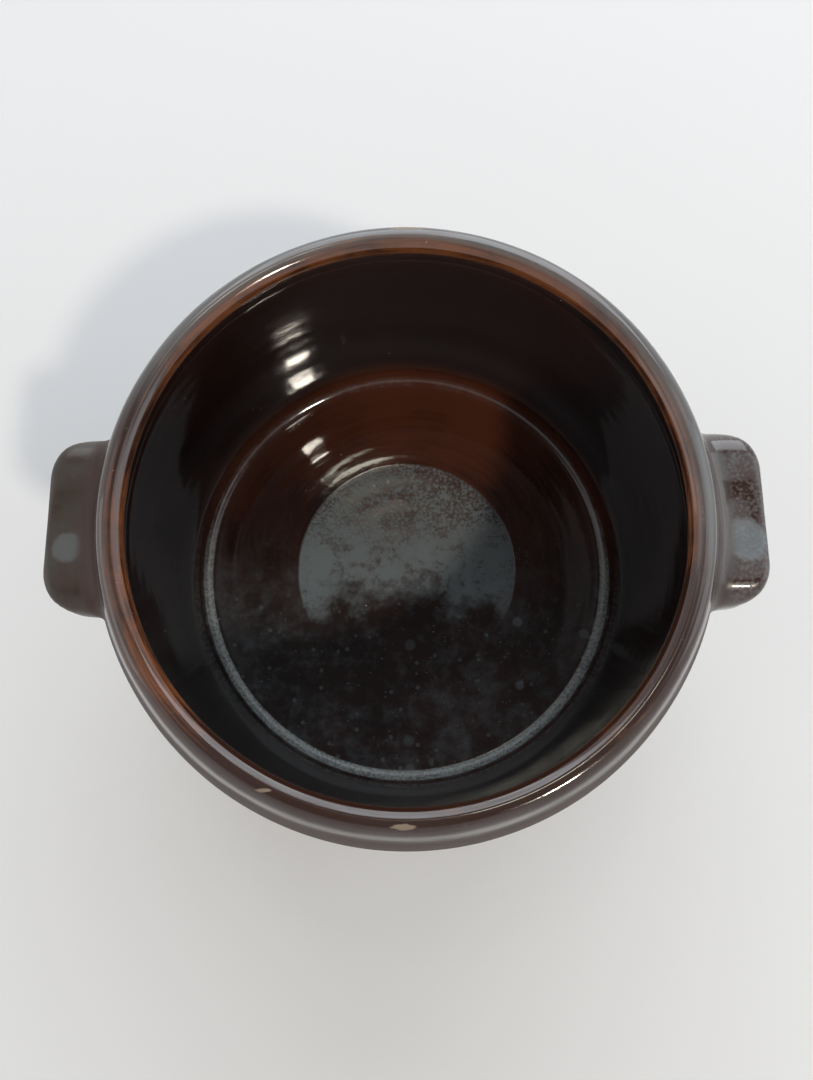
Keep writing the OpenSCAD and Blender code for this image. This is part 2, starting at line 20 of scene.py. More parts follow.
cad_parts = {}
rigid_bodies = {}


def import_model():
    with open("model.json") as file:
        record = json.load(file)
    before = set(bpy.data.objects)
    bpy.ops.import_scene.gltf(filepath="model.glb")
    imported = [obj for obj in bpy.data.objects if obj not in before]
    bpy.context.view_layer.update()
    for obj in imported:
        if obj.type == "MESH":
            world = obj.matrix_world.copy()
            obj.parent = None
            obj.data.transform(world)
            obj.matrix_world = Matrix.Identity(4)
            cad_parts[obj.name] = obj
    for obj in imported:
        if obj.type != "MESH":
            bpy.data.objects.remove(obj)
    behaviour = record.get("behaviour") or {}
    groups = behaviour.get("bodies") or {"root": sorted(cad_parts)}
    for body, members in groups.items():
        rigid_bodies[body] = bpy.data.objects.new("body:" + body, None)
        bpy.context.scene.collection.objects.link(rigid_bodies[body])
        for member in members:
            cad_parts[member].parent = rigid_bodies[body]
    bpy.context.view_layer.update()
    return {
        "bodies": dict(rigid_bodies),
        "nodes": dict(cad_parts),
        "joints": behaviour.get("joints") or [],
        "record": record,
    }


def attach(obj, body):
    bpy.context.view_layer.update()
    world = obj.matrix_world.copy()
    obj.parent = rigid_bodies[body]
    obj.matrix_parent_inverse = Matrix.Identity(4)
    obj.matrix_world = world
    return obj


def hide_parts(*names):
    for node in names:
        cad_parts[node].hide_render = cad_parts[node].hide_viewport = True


LOG = logging.getLogger("bean_pot")

Colour = tuple[float, float, float]
Point = tuple[float, float, float]
Span = tuple[float, float]
Profile = list[tuple[float, float]]
Number = Union["Socket", float]


class Slot(Enum):
    """Material slots of the record."""

    GLAZE = "glaze"
    ENAMEL = "enamel"
    ALUMINIUM = "cast_aluminium"
    SHEATH = "sheath"
    CERAMIC = "ceramic"
    PLATED = "plated_steel"
    COVER_PAINT = "cover_paint"
    RUBBER = "foot_rubber"
    BRASS = "brass"
    BIMETAL = "bimetal"
    NICKEL = "nickel"
    BRAID = "braid"


class Socket:
    """A node's output that takes part in shader maths."""

    def __init__(self, nodes: Nodes, output: bpy.types.NodeSocket) -> None:
        """Wraps one output of a node."""
        self.nodes = nodes
        self.output = output

    def _math(self, operation: str, first: Number, second: Number) -> Socket:
        """Adds one Math node.

        Args:
            operation: The Math node's operation.
            first: Its first value.
            second: Its second value.

        Returns:
            The node's result.
        """
        return self.nodes.value("ShaderNodeMath", {"operation": operation}, {0: first, 1: second})

    def __add__(self, other: Number) -> Socket:
        """Sum."""
        return self._math("ADD", self, other)

    def __radd__(self, other: Number) -> Socket:
        """Sum with a number in front."""
        return self._math("ADD", other, self)

    def __sub__(self, other: Number) -> Socket:
        """Difference."""
        return self._math("SUBTRACT", self, other)

    def __rsub__(self, other: Number) -> Socket:
        """Difference from a number in front."""
        return self._math("SUBTRACT", other, self)

    def __mul__(self, other: Number) -> Socket:
        """Product."""
        return self._math("MULTIPLY", self, other)

    def __rmul__(self, other: Number) -> Socket:
        """Product with a number in front."""
        return self._math("MULTIPLY", other, self)

    def __pow__(self, other: Number) -> Socket:
        """Power."""
        return self._math("POWER", self, other)

    def between(self, low: float, high: float) -> Socket:
        """Smooth step of this value: 0 at low and 1 at high, either way round.

        Args:
            low: The value that gives 0.
            high: The value that gives 1.

        Returns:
            A value from 0 to 1.
        """
        return self.nodes.value(
            "ShaderNodeMapRange",
            {"interpolation_type": "SMOOTHSTEP"},
            {"Value": self, "From Min": low, "From Max": high},
        )

    def window(self, low: float, high: float, soft: float) -> Socket:
        """Mask that is 1 where this value lies between two bounds.

        Args:
            low: Lower bound.
            high: Upper bound.
            soft: Width of the fade outside each bound.

        Returns:
            A value from 0 to 1.
        """
        return self.between(low - soft, low) * self.between(high + soft, high)

    def sine(self) -> Socket:
        """Sine of this value in radians."""
        return self._math("SINE", self, 0.0)


class Nodes:
    """Nodes of a material or of the surroundings, as they are put together."""

    def __init__(self, tree: bpy.types.NodeTree, coordinates: str) -> None:
        """Empties a tree and gives it coordinates.

        Args:
            tree: The tree.
            coordinates: The kind of coordinates that its textures read.
        """
        self.tree = tree
        self.tree.nodes.clear()
        self.place = self.value("ShaderNodeTexCoord", {}, {}, coordinates)
        self._axes: dict[str, Socket] = {}

    def node(self, kind: str, settings: Mapping[str, Any], inputs: Mapping[Any, Any]) -> bpy.types.Node:
        """Adds one node.

        Args:
            kind: The node's type.
            settings: Its properties; "stops" gives a ramp's positions and colours.
            inputs: Values or sockets for its inputs, by name or number.

        Returns:
            The node.
        """
        made = self.tree.nodes.new(kind)
        for key, setting in settings.items():
            if key == "stops":
                self.set_stops(made.color_ramp, setting)
            else:
                setattr(made, key, setting)
        for key, given in inputs.items():
            if isinstance(given, Socket):
                self.tree.links.new(given.output, made.inputs[key])
            elif isinstance(given, tuple) and len(given) == 3 and made.inputs[key].type == "RGBA":
                made.inputs[key].default_value = (*given, 1.0)
            else:
                made.inputs[key].default_value = given
        return made

    @staticmethod
    def set_stops(ramp: bpy.types.ColorRamp, stops: Sequence[tuple[float, Colour]]) -> None:
        """Sets a ramp's positions and colours.

        Args:
            ramp: The ramp.
            stops: Positions in rising order, with their colours.
        """
        while len(ramp.elements) < len(stops):
            ramp.elements.new(1.0)
        for element, (position, colour) in zip(ramp.elements, stops):
            element.position = position
            element.color = (*colour, 1.0)

    def value(
        self, kind: str, settings: Mapping[str, Any], inputs: Mapping[Any, Any], output: Any = 0
    ) -> Socket:
        """Adds one node and gives one of its outputs.

        Args:
            kind: The node's type.
            settings: Its properties.
            inputs: Values or sockets for its inputs.
            output: Name or number of the output.

        Returns:
            That output, ready for shader maths.
        """
        return Socket(self, self.node(kind, settings, inputs).outputs[output])

    def axis(self, name: str) -> Socket:
        """One of the coordinates.

        Args:
            name: "X", "Y" or "Z".

        Returns:
            Its value.
        """
        if not self._axes:
            split = self.node("ShaderNodeSeparateXYZ", {}, {0: self.place})
            self._axes = {key: Socket(self, split.outputs[key]) for key in "XYZ"}
        return self._axes[name]


class Shader(Nodes):
    """A material that is being put together."""

    def __init__(self, name: str) -> None:
        """Starts an empty material.

        Args:
            name: The material's name.
        """
        self.material = bpy.data.materials.new(name)
        self.material.use_nodes = True
        super().__init__(self.material.node_tree, "Object")

    def radius(self) -> Socket:
        """Distance from the pot's axis.

        Returns:
            The distance.
        """
        x = self.axis("X")
        y = self.axis("Y")
        return (x * x + y * y) ** 0.5

    def stretched(self, scale: Point, turn: Point = (0.0, 0.0, 0.0)) -> Socket:
        """Object coordinates scaled per axis and turned.

        Args:
            scale: Factors along X, Y and Z.
            turn: Euler angles in radians.

        Returns:
            The vector for a texture.
        """
        return self.value("ShaderNodeMapping", {}, {"Vector": self.place, "Scale": scale, "Rotation": turn})

    def ringed(self, around: float, across: float) -> Socket:
        """Coordinates that run round the pot, for marks left by turning.

        Args:
            around: Waves over a radius's length along the round.
            across: Waves in a metre outwards; upwards there are 0.7 times as many.

        Returns:
            The vector for a texture.
        """
        flat = self.value("ShaderNodeCombineXYZ", {}, {0: self.axis("X"), 1: self.axis("Y")})
        heading = self.value("ShaderNodeVectorMath", {"operation": "NORMALIZE"}, {0: flat})
        heading = self.value("ShaderNodeVectorMath", {"operation": "SCALE"}, {0: heading, "Scale": around})
        level = (self.radius() + self.axis("Z") * 0.7) * across
        lifted = self.value("ShaderNodeCombineXYZ", {}, {2: level})
        return self.value("ShaderNodeVectorMath", {"operation": "ADD"}, {0: heading, 1: lifted})

    def noise(
        self, scale: float, detail: float = 2.0, rough: float = 0.5, vector: Socket | None = None
    ) -> Socket:
        """Cloudy noise from 0 to 1.

        Args:
            scale: Waves in a metre.
            detail: Number of finer layers.
            rough: Strength of the finer layers.
            vector: Coordinates, the object's own by default.

        Returns:
            The noise.
        """
        where = self.place if vector is None else vector
        settings = {"Vector": where, "Scale": scale, "Detail": detail, "Roughness": rough}
        return self.value("ShaderNodeTexNoise", {}, settings)

    def specks(self, scale: float, size: float, share: float) -> Socket:
        """Round specks, one in some of the cells of a random pattern.

        Args:
            scale: Cells in a metre.
            size: Radius of a speck as a share of a cell.
            share: Share of the cells that hold one.

        Returns:
            Mask of the specks.
        """
        cells = self.node("ShaderNodeTexVoronoi", {}, {"Vector": self.place, "Scale": scale})
        dots = Socket(self, cells.outputs["Distance"]).between(size, size * 0.6)
        pick = self.node("ShaderNodeSeparateColor", {}, {0: Socket(self, cells.outputs["Color"])})
        return dots * Socket(self, pick.outputs[0]).between(share, share * 0.9)

    def spot(self, centre: Point, size: float, ragged: float = 1.0, length: float = 1.0) -> Socket:
        """Ragged round or oval mask about a point.

        Args:
            centre: The point in object coordinates.
            size: Radius of the mask.
            ragged: Unevenness of its edge, 0 for a true round.
            length: How many times longer it is along X.

        Returns:
            Mask that is 1 at the point.
        """
        away = self.value("ShaderNodeVectorMath", {"operation": "SUBTRACT"}, {0: self.place, 1: centre})
        squeeze = {0: away, 1: (1.0 / length, 1.0, 1.0)}
        away = self.value("ShaderNodeVectorMath", {"operation": "MULTIPLY"}, squeeze)
        far = self.value("ShaderNodeVectorMath", {"operation": "LENGTH"}, {0: away}, "Value")
        uneven = far + (self.noise(scale=420.0, detail=3.0) - 0.5) * (size * ragged)
        return uneven.between(size, size * 0.7)

    def mix(self, factor: Number, first: Any, second: Any) -> Socket:
        """Mix of two colours.

        Args:
            factor: 0 gives the first and 1 the second.
            first: Colour or socket.
            second: Colour or socket.

        Returns:
            The mixed colour.
        """
        return self.value("ShaderNodeMix", {"data_type": "RGBA"}, {0: factor, 6: first, 7: second}, 2)

    def bump(self, height: Socket, depth: float) -> Socket:
        """Normal bent by a height.

        Args:
            height: Height from 0 to 1.
            depth: Depth in metres that 1 stands for.

        Returns:
            The normal.
        """
        return self.value("ShaderNodeBump", {}, {"Height": height, "Distance": depth, "Strength": 1.0})

    def finish(
        self, colour: Socket, rough: Socket, normal: Socket, others: Mapping[str, Number]
    ) -> bpy.types.Material:
        """Closes the material with a Principled shader.

        Args:
            colour: Colour over the surface.
            rough: Roughness over the surface.
            normal: Its normal.
            others: Values for other inputs, by name.

        Returns:
            The finished material.
        """
        inputs = {"Base Color": colour, "Roughness": rough, "Normal": normal, **others}
        surface = self.value("ShaderNodeBsdfPrincipled", {}, inputs)
        self.node("ShaderNodeOutputMaterial", {}, {"Surface": surface})
        return self.material


class Finish(Protocol):
    """A finish, which builds its own material."""

    def material(self) -> bpy.types.Material:
        """Builds the material."""


@dataclass(frozen=True)
class GlazePlaces:
    """Where the glaze changes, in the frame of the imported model.

    Each span gives the value at which its mask is 0 and the value at which it is 1, but the lime's mask is 1
    between its two radii. The two curves say how fast the wall's middle draws in below and above the belly.
    """

    # Heights
    under_floor_z: Span = (0.0485, 0.0495)
    floor_z: Span = (0.066, 0.053)
    film_z: Span = (0.054, 0.0525)
    lime_z: Span = (0.0565, 0.054)
    near_wall_z: Span = (0.055, 0.06)
    # Band where the painted reflection of a pale sky rises over the shoulder
    upper_z: Span = (0.1305, 0.1425)
    sky_reflection_z: Span = (0.142, 0.156)
    lip_z: Span = (0.157, 0.161)
    under_lip_z: Span = (0.163, 0.157)
    bare_foot_z: Span = (0.0381, 0.0375)
    # Radii
    inner_lip_r: Span = (0.088, 0.0825)
    outer_lip_r: Span = (0.0812, 0.0832)
    lug_r: Span = (0.0955, 0.0985)
    disc_r: Span = (0.0429, 0.0417)
    lime_r: Span = (0.076, 0.0788)
    lime_soft: float = 0.0005
    # Sides; the front runs along a slanting line
    left_x: Span = (0.01, -0.01)
    # Place of the painted sheen on the far wall inside
    far_wall_sheen_x: Span = (-0.07, -0.02)
    far_wall_sheen_y: Span = (0.0, 0.05)
    # Place of the floor's brown, partly painted light on its far, right side
    brown_and_light_x: Span = (-0.06, 0.0)
    brown_and_light_y: Span = (-0.03, 0.05)
    near_wall_y: Span = (-0.03, -0.06)
    front: Span = (0.035, -0.015)
    front_slant: float = 0.35
    # Front edge of the film on the disc, where painted shade fades it out
    film_shadow_front_y: Span = (-0.024, 0.004)
    film_far_y: Span = (0.004, 0.026)
    cloudy_y: Span = (0.03, -0.03)
    spots_y: Span = (0.0, -0.02)
    big_spots_x: Span = (-0.04, 0.04)
    dusty_y: Span = (0.02, -0.03)
    lime_front_y: Span = (0.045, -0.04)
    # Middle of the wall, which parts inside from outside
    belly_z: float = 0.1305
    wall_mid_r: float = 0.0906
    side_curve: float = 1.11
    shoulder_curve: float = 5.98
    wall_blend: Span = (-0.001, 0.001)
    belly_blend: Span = (-0.0001, 0.0001)
    # Painted reflections as pale rounds in the thumb dishes, and chips as centre and size
    dish: Point = (0.0999, -0.0075, 0.1493)
    dish_rad: float = 0.0074
    left_dish_share: float = 0.7
    dish_ragged: float = 0.3
    chips: tuple[tuple[Point, float], ...] = (
        ((-0.0018, -0.0848, 0.166), 0.0009),
        ((-0.0385, -0.0752, 0.166), 0.0006),
        ((0.0015, 0.0872, 0.1652), 0.0018),
    )
    chip_length: float = 4.2


class GlazeMap:
    """Noises and masks that the glaze's colour, gloss and relief share.

    A mask is 1 where the surface is what its name says. The attribute "ridge" on the mesh says how sharply
    the surface bulges.
    """

    def __init__(self, s: Shader, at: GlazePlaces) -> None:
        """Lays the noises and masks out.

        Args:
            s: The glaze's shader.
            at: Where the glaze changes.
        """
        self.s = s
        self.at = at
        self.x = s.axis("X")
        self.y = s.axis("Y")
        self.z = s.axis("Z")
        self.r = s.radius()
        self.ridge = s.value("ShaderNodeAttribute", {"attribute_name": "ridge"}, {}, "Fac")
        self.cloud = s.noise(scale=22.0, detail=3.0, rough=0.55)
        self.mottle = s.noise(scale=150.0, detail=5.0, rough=0.65)
        self.grain = s.noise(scale=900.0, detail=2.0, rough=0.6)
        self.streaks = s.noise(scale=1.0, detail=4.0, rough=0.6, vector=s.ringed(around=2.2, across=520.0))
        self.lines = s.noise(scale=1.0, detail=4.0, rough=0.65, vector=s.ringed(around=3.5, across=900.0))
        self.inside = self._inside()
        self.floor = self.inside * self.z.between(*at.floor_z)
        self.lip = self.z.between(*at.lip_z)
        self.wall_inside = self.inside * (1.0 - self.lip)
        self.inner_lip = self.r.between(*at.inner_lip_r)
        self.lug = self.r.between(*at.lug_r)
        self.left = self.x.between(*at.left_x)
        self.front = (self.y + self.x * at.front_slant).between(*at.front)
        self.flank = (1.0 - self.inside) * (1.0 - self.lug) * self.z.between(*at.under_lip_z)
        self.streaked_lip = self.lip * self.lines.between(0.35, 0.7)
        self.bare = self.z.between(*at.bare_foot_z)
        self.film_and_painted_light = self._film()
        self.lime = self._lime()
        self.speckle_and_dish_reflection = self._speckle_and_dish_reflection()
        self.chips = self._chips()

    def _inside(self) -> Socket:
        """Mask of the floor and the wall's inside, told apart by the middle of the wall at each height.

        Returns:
            A value that is 1 inside the crock.
        """
        at = self.at
        rise = self.z - at.belly_z
        higher = rise.between(*at.belly_blend)
        curve = higher * (at.shoulder_curve - at.side_curve) + at.side_curve
        depth = at.wall_mid_r - rise * rise * curve - self.r
        return depth.between(*at.wall_blend) * self.z.between(*at.under_floor_z)

    def _film(self) -> Socket:
        """Mineral film on the floor's middle, clean along its far edge; on the disc it fades raggedly to the
        front as painted shade.

        Returns:
            Mask of the film and its painted shade.
        """
        at = self.at
        disc = (self.r + (self.mottle - 0.5) * 0.0012).between(*at.disc_r)
        scallops = (self.cloud - 0.5) * 0.06 + (self.mottle - 0.5) * 0.03
        # Fading the film towards the front paints the shade on the floor's near half
        disc = disc * (self.y + scallops).between(*at.film_shadow_front_y)
        far = self.y.between(*at.film_far_y)
        coarse = (self.grain * 0.8 + self.mottle * 0.55).between(0.52, 0.85)
        fine = (self.mottle * 0.9 + self.grain * 0.25).between(0.28, 0.62)
        body = coarse * far + fine * (1.0 - far)
        clouds = (self.mottle * 0.8 + self.cloud * 0.5).between(0.55, 0.95) * self.y.between(*at.cloudy_y)
        big = self.s.specks(scale=120.0, size=0.3, share=0.22) * self.x.between(*at.big_spots_x)
        small = self.s.specks(scale=300.0, size=0.3, share=0.2)
        spots = (big + small * 0.7) * self.y.between(*at.spots_y)
        around = clouds * 0.32 + spots * 0.34 + self.y.between(*at.dusty_y) * 0.05
        level = self.z.between(*at.film_z) * self.floor
        return level * (disc * (0.15 + body * 0.7) + (1.0 - disc) * around)

    def _lime(self) -> Socket:
        """Pale line of lime in the corner round the floor, heavier at the front.

        Returns:
            Mask of the lime.
        """
        at = self.at
        corner = self.r.window(*at.lime_r, at.lime_soft) * self.z.between(*at.lime_z)
        front = self.y.between(*at.lime_front_y)
        gaps = (self.mottle + front * 0.3).between(0.35, 0.7) * (0.45 + self.grain.between(0.35, 0.62) * 0.55)
        return self.inside * corner * gaps * (0.12 + front * 0.75)

    def _speckle_and_dish_reflection(self) -> Socket:
        """Speckle on the right lug, and a painted reflection in each thumb dish: a pale round, smaller and
        fainter on the left.

        Returns:
            Mask of the speckle and the painted reflections.
        """
        at = self.at
        x, y, z = at.dish
        speckle = (self.grain * 0.8 + self.mottle * 0.4).between(0.52, 0.76) * (1.0 - self.left)
        # The pale rounds in the thumb dishes are painted reflections
        dish_reflection_round = self.s.spot(at.dish, at.dish_rad, at.dish_ragged)
        dish_reflection_round = dish_reflection_round + self.s.spot((-x, y, z), at.dish_rad * at.left_dish_share, at.dish_ragged)
        return self.lug * (speckle * 0.22 + dish_reflection_round * (0.4 - self.left * 0.2))

    def _chips(self) -> Socket:
        """Small chips along the lip.

        Returns:
            Mask of the chips.
        """
        spots = [self.s.spot(centre, size, length=self.at.chip_length) for centre, size in self.at.chips]
        return sum(spots[1:], spots[0])

    def far_wall_sheen(self) -> Socket:
        """Painted sheen on the far wall inside, a grey over the dark glaze."""
        place = self.y.between(*self.at.far_wall_sheen_y) * self.x.between(*self.at.far_wall_sheen_x)
        return self.inside * (1.0 - self.floor) * place

    def brown_and_lit_floor(self) -> Socket:
        """Thinner glaze on the floor, partly painted light: browner far and to the right, where light falls on
        the floor.

        Returns:
            Mask of the brown and its painted light.
        """
        # The far and right weights paint the light that falls on the floor
        far = self.y.between(*self.at.brown_and_light_y) * 0.75 + 0.25
        right = self.x.between(*self.at.brown_and_light_x) * 0.6 + 0.4
        return self.floor * far * right * (self.cloud * 0.6 + self.streaks * 0.4).between(0.2, 0.6)

    def breaking(self) -> Socket:
        """Glaze that breaks on the lip and on the lugs' edges.

        Returns:
            Mask of the thin glaze.
        """
        share = self.lip * (0.6 + self.inner_lip * 0.4) + self.lug * 0.5
        sharp = self.ridge + (self.streaks - 0.5) * 0.7 + (self.mottle - 0.5) * 0.25
        return sharp.between(0.1, 0.7) * share

    def rust(self) -> Socket:
        """Rust streaks where the glaze breaks, more of them on the far inner lip.

        Returns:
            Mask of the rust.
        """
        bared = self.inner_lip * (0.55 - self.front * 0.4)
        noises = (self.lines - 0.5) * 1.6 + (self.cloud - 0.5) * 2.2 + (self.mottle - 0.5) * 0.5
        return (bared + noises).between(0.1, 0.8)

    def painted_sky_reflection(self) -> Socket:
        """Painted reflection of a pale sky: a cool grey over the lip's top and the shoulder, most of it on the
        far side.

        Returns:
            Mask of the painted reflection.
        """
        place = (1.0 - self.wall_inside) * (1.0 - self.lug) * self.z.between(*self.at.sky_reflection_z)
        place = place * self.r.between(*self.at.outer_lip_r) * (1.0 - self.front * 0.85)
        return place * (self.streaks * 0.6 + self.cloud * 0.4).between(0.2, 0.55)


@dataclass(frozen=True)
class Wear:
    """What one kind of wear does to the gloss: roughness that it adds and top coat that it takes."""

    rough: float
    dull: float


@dataclass(frozen=True)
class Glaze:
    """Dark brown gloss glaze that breaks to rust where it runs thin, over buff stoneware.

    A field that ends in bare is the share of the top coat that is missing in its place.
    """

    # Colours, some with the share in which they are laid on
    thick: Colour = (0.0035, 0.0024, 0.0026)
    middle: Colour = (0.014, 0.0085, 0.0078)
    outer: Colour = (0.04, 0.0145, 0.0075)
    # Grey of the painted sheen on the far wall inside, with its share
    far_wall_sheen_grey: Colour = (0.028, 0.0245, 0.026)
    far_wall_sheen_share: float = 0.8
    # Brown of the thin glaze on the floor, partly painted light
    floor_brown_and_light: Colour = (0.105, 0.031, 0.015)
    breaking: Colour = (0.03, 0.0115, 0.007)
    thin: Colour = (0.16, 0.052, 0.018)
    # Cool grey of the painted sky reflection on the lip and shoulder, with its share
    sky_reflection_grey: Colour = (0.11, 0.115, 0.116)
    sky_reflection_share: float = 0.75
    # Colour of the film, also used for the painted reflections in the thumb dishes
    film_and_painted_light: Colour = (0.2, 0.243, 0.262)
    lime: Colour = (0.34, 0.36, 0.335)
    handled: Colour = (0.034, 0.031, 0.022)
    handled_share: float = 0.8
    chipped: Colour = (0.4, 0.31, 0.21)
    chip_share: float = 0.4
    clay: Colour = (0.42, 0.31, 0.2)
    dark_clay: Colour = (0.3, 0.2, 0.12)
    # Gloss
    film_wear: Wear = Wear(rough=0.35, dull=0.8)
    lime_wear: Wear = Wear(rough=0.3, dull=0.7)
    chip_wear: Wear = Wear(rough=0.35, dull=0.8)
    foot_wear: Wear = Wear(rough=0.6, dull=1.0)
    lug_wear: Wear = Wear(rough=1.0, dull=0.5)
    rough: float = 0.05
    cloud_rough: float = 0.04
    flank_rough: float = 0.03
    shoulder_rough: float = 0.36
    shoulder_streaks: float = 0.3
    near_wall_rough: float = 0.3
    lip_streak_rough: float = 0.16
    inside_bare: float = 0.8
    lug_bare: float = 0.4
    left_lug_bare: float = 0.5
    flank_bare: float = 0.5
    lip_bare: float = 0.35
    lip_streak_bare: float = 0.5
    # Relief, as shares of its depth
    throwing_relief: float = 0.12
    skin_relief: float = 0.2
    pit_relief: float = 0.4
    crust_relief: float = 0.4
    relief_depth: float = 0.00012

    def material(self) -> bpy.types.Material:
        """Builds the glaze.

        Returns:
            The material.
        """
        s = Shader("glaze")
        m = GlazeMap(s, GlazePlaces())
        normal = s.bump(self.relief(s, m), self.relief_depth)
        others = {"Coat Weight": self.coat(m), "IOR": 1.5, "Coat IOR": 1.6, "Coat Roughness": 0.05}
        return s.finish(self.colour(s, m), self.roughness(m), normal, others)

    def colour(self, s: Shader, m: GlazeMap) -> Socket:
        """Colour of the glaze with its painted light and reflections, then of what lies on it and of the bare
        clay.

        Args:
            s: The shader.
            m: Its noises and masks.

        Returns:
            The colour.
        """
        colour = s.mix(m.cloud.between(0.35, 0.75), self.thick, self.middle)
        colour = s.mix((1.0 - m.inside) * (0.8 + m.streaks.between(0.4, 0.75) * 0.2), colour, self.outer)
        # Painted sheen on the far wall inside
        colour = s.mix(m.far_wall_sheen() * self.far_wall_sheen_share, colour, self.far_wall_sheen_grey)
        # Browner floor, partly painted light on its far, right side
        colour = s.mix(m.brown_and_lit_floor(), colour, self.floor_brown_and_light)
        colour = s.mix(m.breaking(), colour, s.mix(m.rust(), self.breaking, self.thin))
        # Painted reflection of a pale sky on the lip and shoulder
        colour = s.mix(m.painted_sky_reflection() * self.sky_reflection_share, colour, self.sky_reflection_grey)
        # Film on the floor, faded towards the front as painted shade
        colour = s.mix(m.film_and_painted_light, colour, self.film_and_painted_light)
        colour = s.mix(m.lime, colour, s.mix(m.mottle, self.film_and_painted_light, self.lime))
        handled = m.lug * m.left * m.mottle.between(0.2, 0.7)
        colour = s.mix(handled * self.handled_share, colour, self.handled)
        # Speckle on the right lug, and painted reflections in the thumb dishes
        colour = s.mix(m.speckle_and_dish_reflection, colour, self.film_and_painted_light)
        colour = s.mix(m.chips * self.chip_share, colour, self.chipped)
        return s.mix(m.bare, colour, s.mix(m.grain.between(0.3, 0.7), self.clay, self.dark_clay))

    def wear(self, m: GlazeMap) -> list[tuple[Socket, Wear]]:
        """Each kind of wear with its mask.

        Args:
            m: The noises and masks.

        Returns:
            Pairs of mask and wear.
        """
        masks = (m.film_and_painted_light, m.lime, m.chips, m.bare, m.speckle_and_dish_reflection)
        effects = (self.film_wear, self.lime_wear, self.chip_wear, self.foot_wear, self.lug_wear)
        return list(zip(masks, effects))

    def roughness(self, m: GlazeMap) -> Socket:
        """Roughness, higher on wear, on the handled lugs, on the near shoulder and in the lip's streaks.

        Args:
            m: The noises and masks.

        Returns:
            The roughness.
        """
        rough = self.rough + m.cloud * self.cloud_rough
        for mask, wear in self.wear(m):
            rough = rough + mask * wear.rough
        rough = rough + m.lug * (0.06 + m.left * 0.2 + m.mottle.between(0.25, 0.7) * 0.12)
        shoulder = m.flank * m.z.between(*m.at.upper_z) * m.front
        near_wall = m.wall_inside * m.y.between(*m.at.near_wall_y) * m.z.between(*m.at.near_wall_z)
        rough = rough + m.flank * self.flank_rough + near_wall * self.near_wall_rough
        rough = rough + shoulder * (self.shoulder_rough + m.streaks * self.shoulder_streaks)
        return rough + m.streaked_lip * self.lip_streak_rough

    def coat(self, m: GlazeMap) -> Socket:
        """Weight of the clear top coat.

        Args:
            m: The noises and masks.

        Returns:
            The weight, 1 where the coat is whole.
        """
        coat = 1.0 - m.wall_inside * self.inside_bare - m.lug * (self.lug_bare + m.left * self.left_lug_bare)
        coat = coat - m.flank * (m.front + 1.0) * self.flank_bare
        coat = coat - m.lip * self.lip_bare - m.streaked_lip * self.lip_streak_bare
        for mask, wear in self.wear(m):
            coat = coat - mask * wear.dull
        return coat

    def relief(self, s: Shader, m: GlazeMap) -> Socket:
        """Height of the throwing marks, the glaze's skin, its pits and chips, and the crust of film and lime.

        Args:
            s: The shader.
            m: Its noises and masks.

        Returns:
            The height, for a bump.
        """
        rings = s.ringed(around=1.6, across=420.0)
        height = s.noise(scale=1.0, detail=3.0, rough=0.55, vector=rings) * m.inside * self.throwing_relief
        height = height + s.noise(scale=260.0, detail=2.0) * self.skin_relief - m.chips
        height = height - s.specks(scale=700.0, size=0.3, share=0.12) * self.pit_relief
        return height + m.grain * (m.bare + m.lime + m.film_and_painted_light) * self.crust_relief


@dataclass(frozen=True)
class Enamel:
    """Baked brown enamel on sheet steel, with faint speckle and chipped edges."""

    colour: Colour = (0.045, 0.021, 0.012)
    lighter: Colour = (0.062, 0.03, 0.018)
    speckle: Colour = (0.12, 0.07, 0.045)
    steel: Colour = (0.32, 0.31, 0.3)
    rough: float = 0.2
    top_z: Span = (0.0385, 0.039)
    hem_z: Span = (0.0108, 0.0104)
    relief_depth: float = 0.00006

    def material(self) -> bpy.types.Material:
        """Builds the enamel.

        Returns:
            The material.
        """
        s = Shader("enamel")
        z = s.axis("Z")
        cloud = s.noise(scale=30.0, detail=3.0)
        fine = s.noise(scale=1400.0, detail=2.0)
        speckle = s.specks(scale=900.0, size=0.28, share=0.25)
        edges = z.between(*self.top_z) + z.between(*self.hem_z)
        chipped = edges * s.noise(scale=330.0, detail=3.0, rough=0.6).between(0.6, 0.68)
        colour = s.mix(cloud.between(0.3, 0.75) * 0.5, self.colour, self.lighter)
        colour = s.mix(speckle * 0.5, colour, self.speckle)
        colour = s.mix(chipped, colour, self.steel)
        rough = self.rough + cloud * 0.12 + chipped * 0.25
        height = s.noise(scale=480.0, detail=2.0) + fine * 0.15 - chipped * 0.8
        others = {"Metallic": chipped * 0.9, "IOR": 1.5, "Coat Weight": 0.3, "Coat Roughness": 0.08}
        return s.finish(colour, rough, s.bump(height, self.relief_depth), others)


@dataclass(frozen=True)
class TurnedAluminium:
    """Cast aluminium with turning marks and heat stains."""

    colour: Colour = (0.56, 0.56, 0.55)
    darker: Colour = (0.42, 0.42, 0.42)
    stain: Colour = (0.3, 0.25, 0.2)
    rough: float = 0.3
    marks: float = 5200.0
    relief_depth: float = 0.00005

    def material(self) -> bpy.types.Material:
        """Builds the metal.

        Returns:
            The material.
        """
        s = Shader("turned_aluminium")
        r = s.radius()
        cloud = s.noise(scale=45.0, detail=4.0, rough=0.6)
        fine = s.noise(scale=700.0, detail=3.0)
        marks = (r * self.marks + cloud * 2.0).sine() * 0.5 + 0.5
        stained = (cloud + fine * 0.2).between(0.52, 0.85)
        colour = s.mix(stained * 0.55, s.mix(marks * 0.25, self.colour, self.darker), self.stain)
        rough = self.rough + stained * 0.25 + fine * 0.08
        height = marks * 0.6 + fine * 0.4
        return s.finish(colour, rough, s.bump(height, self.relief_depth), {"Metallic": 1.0})


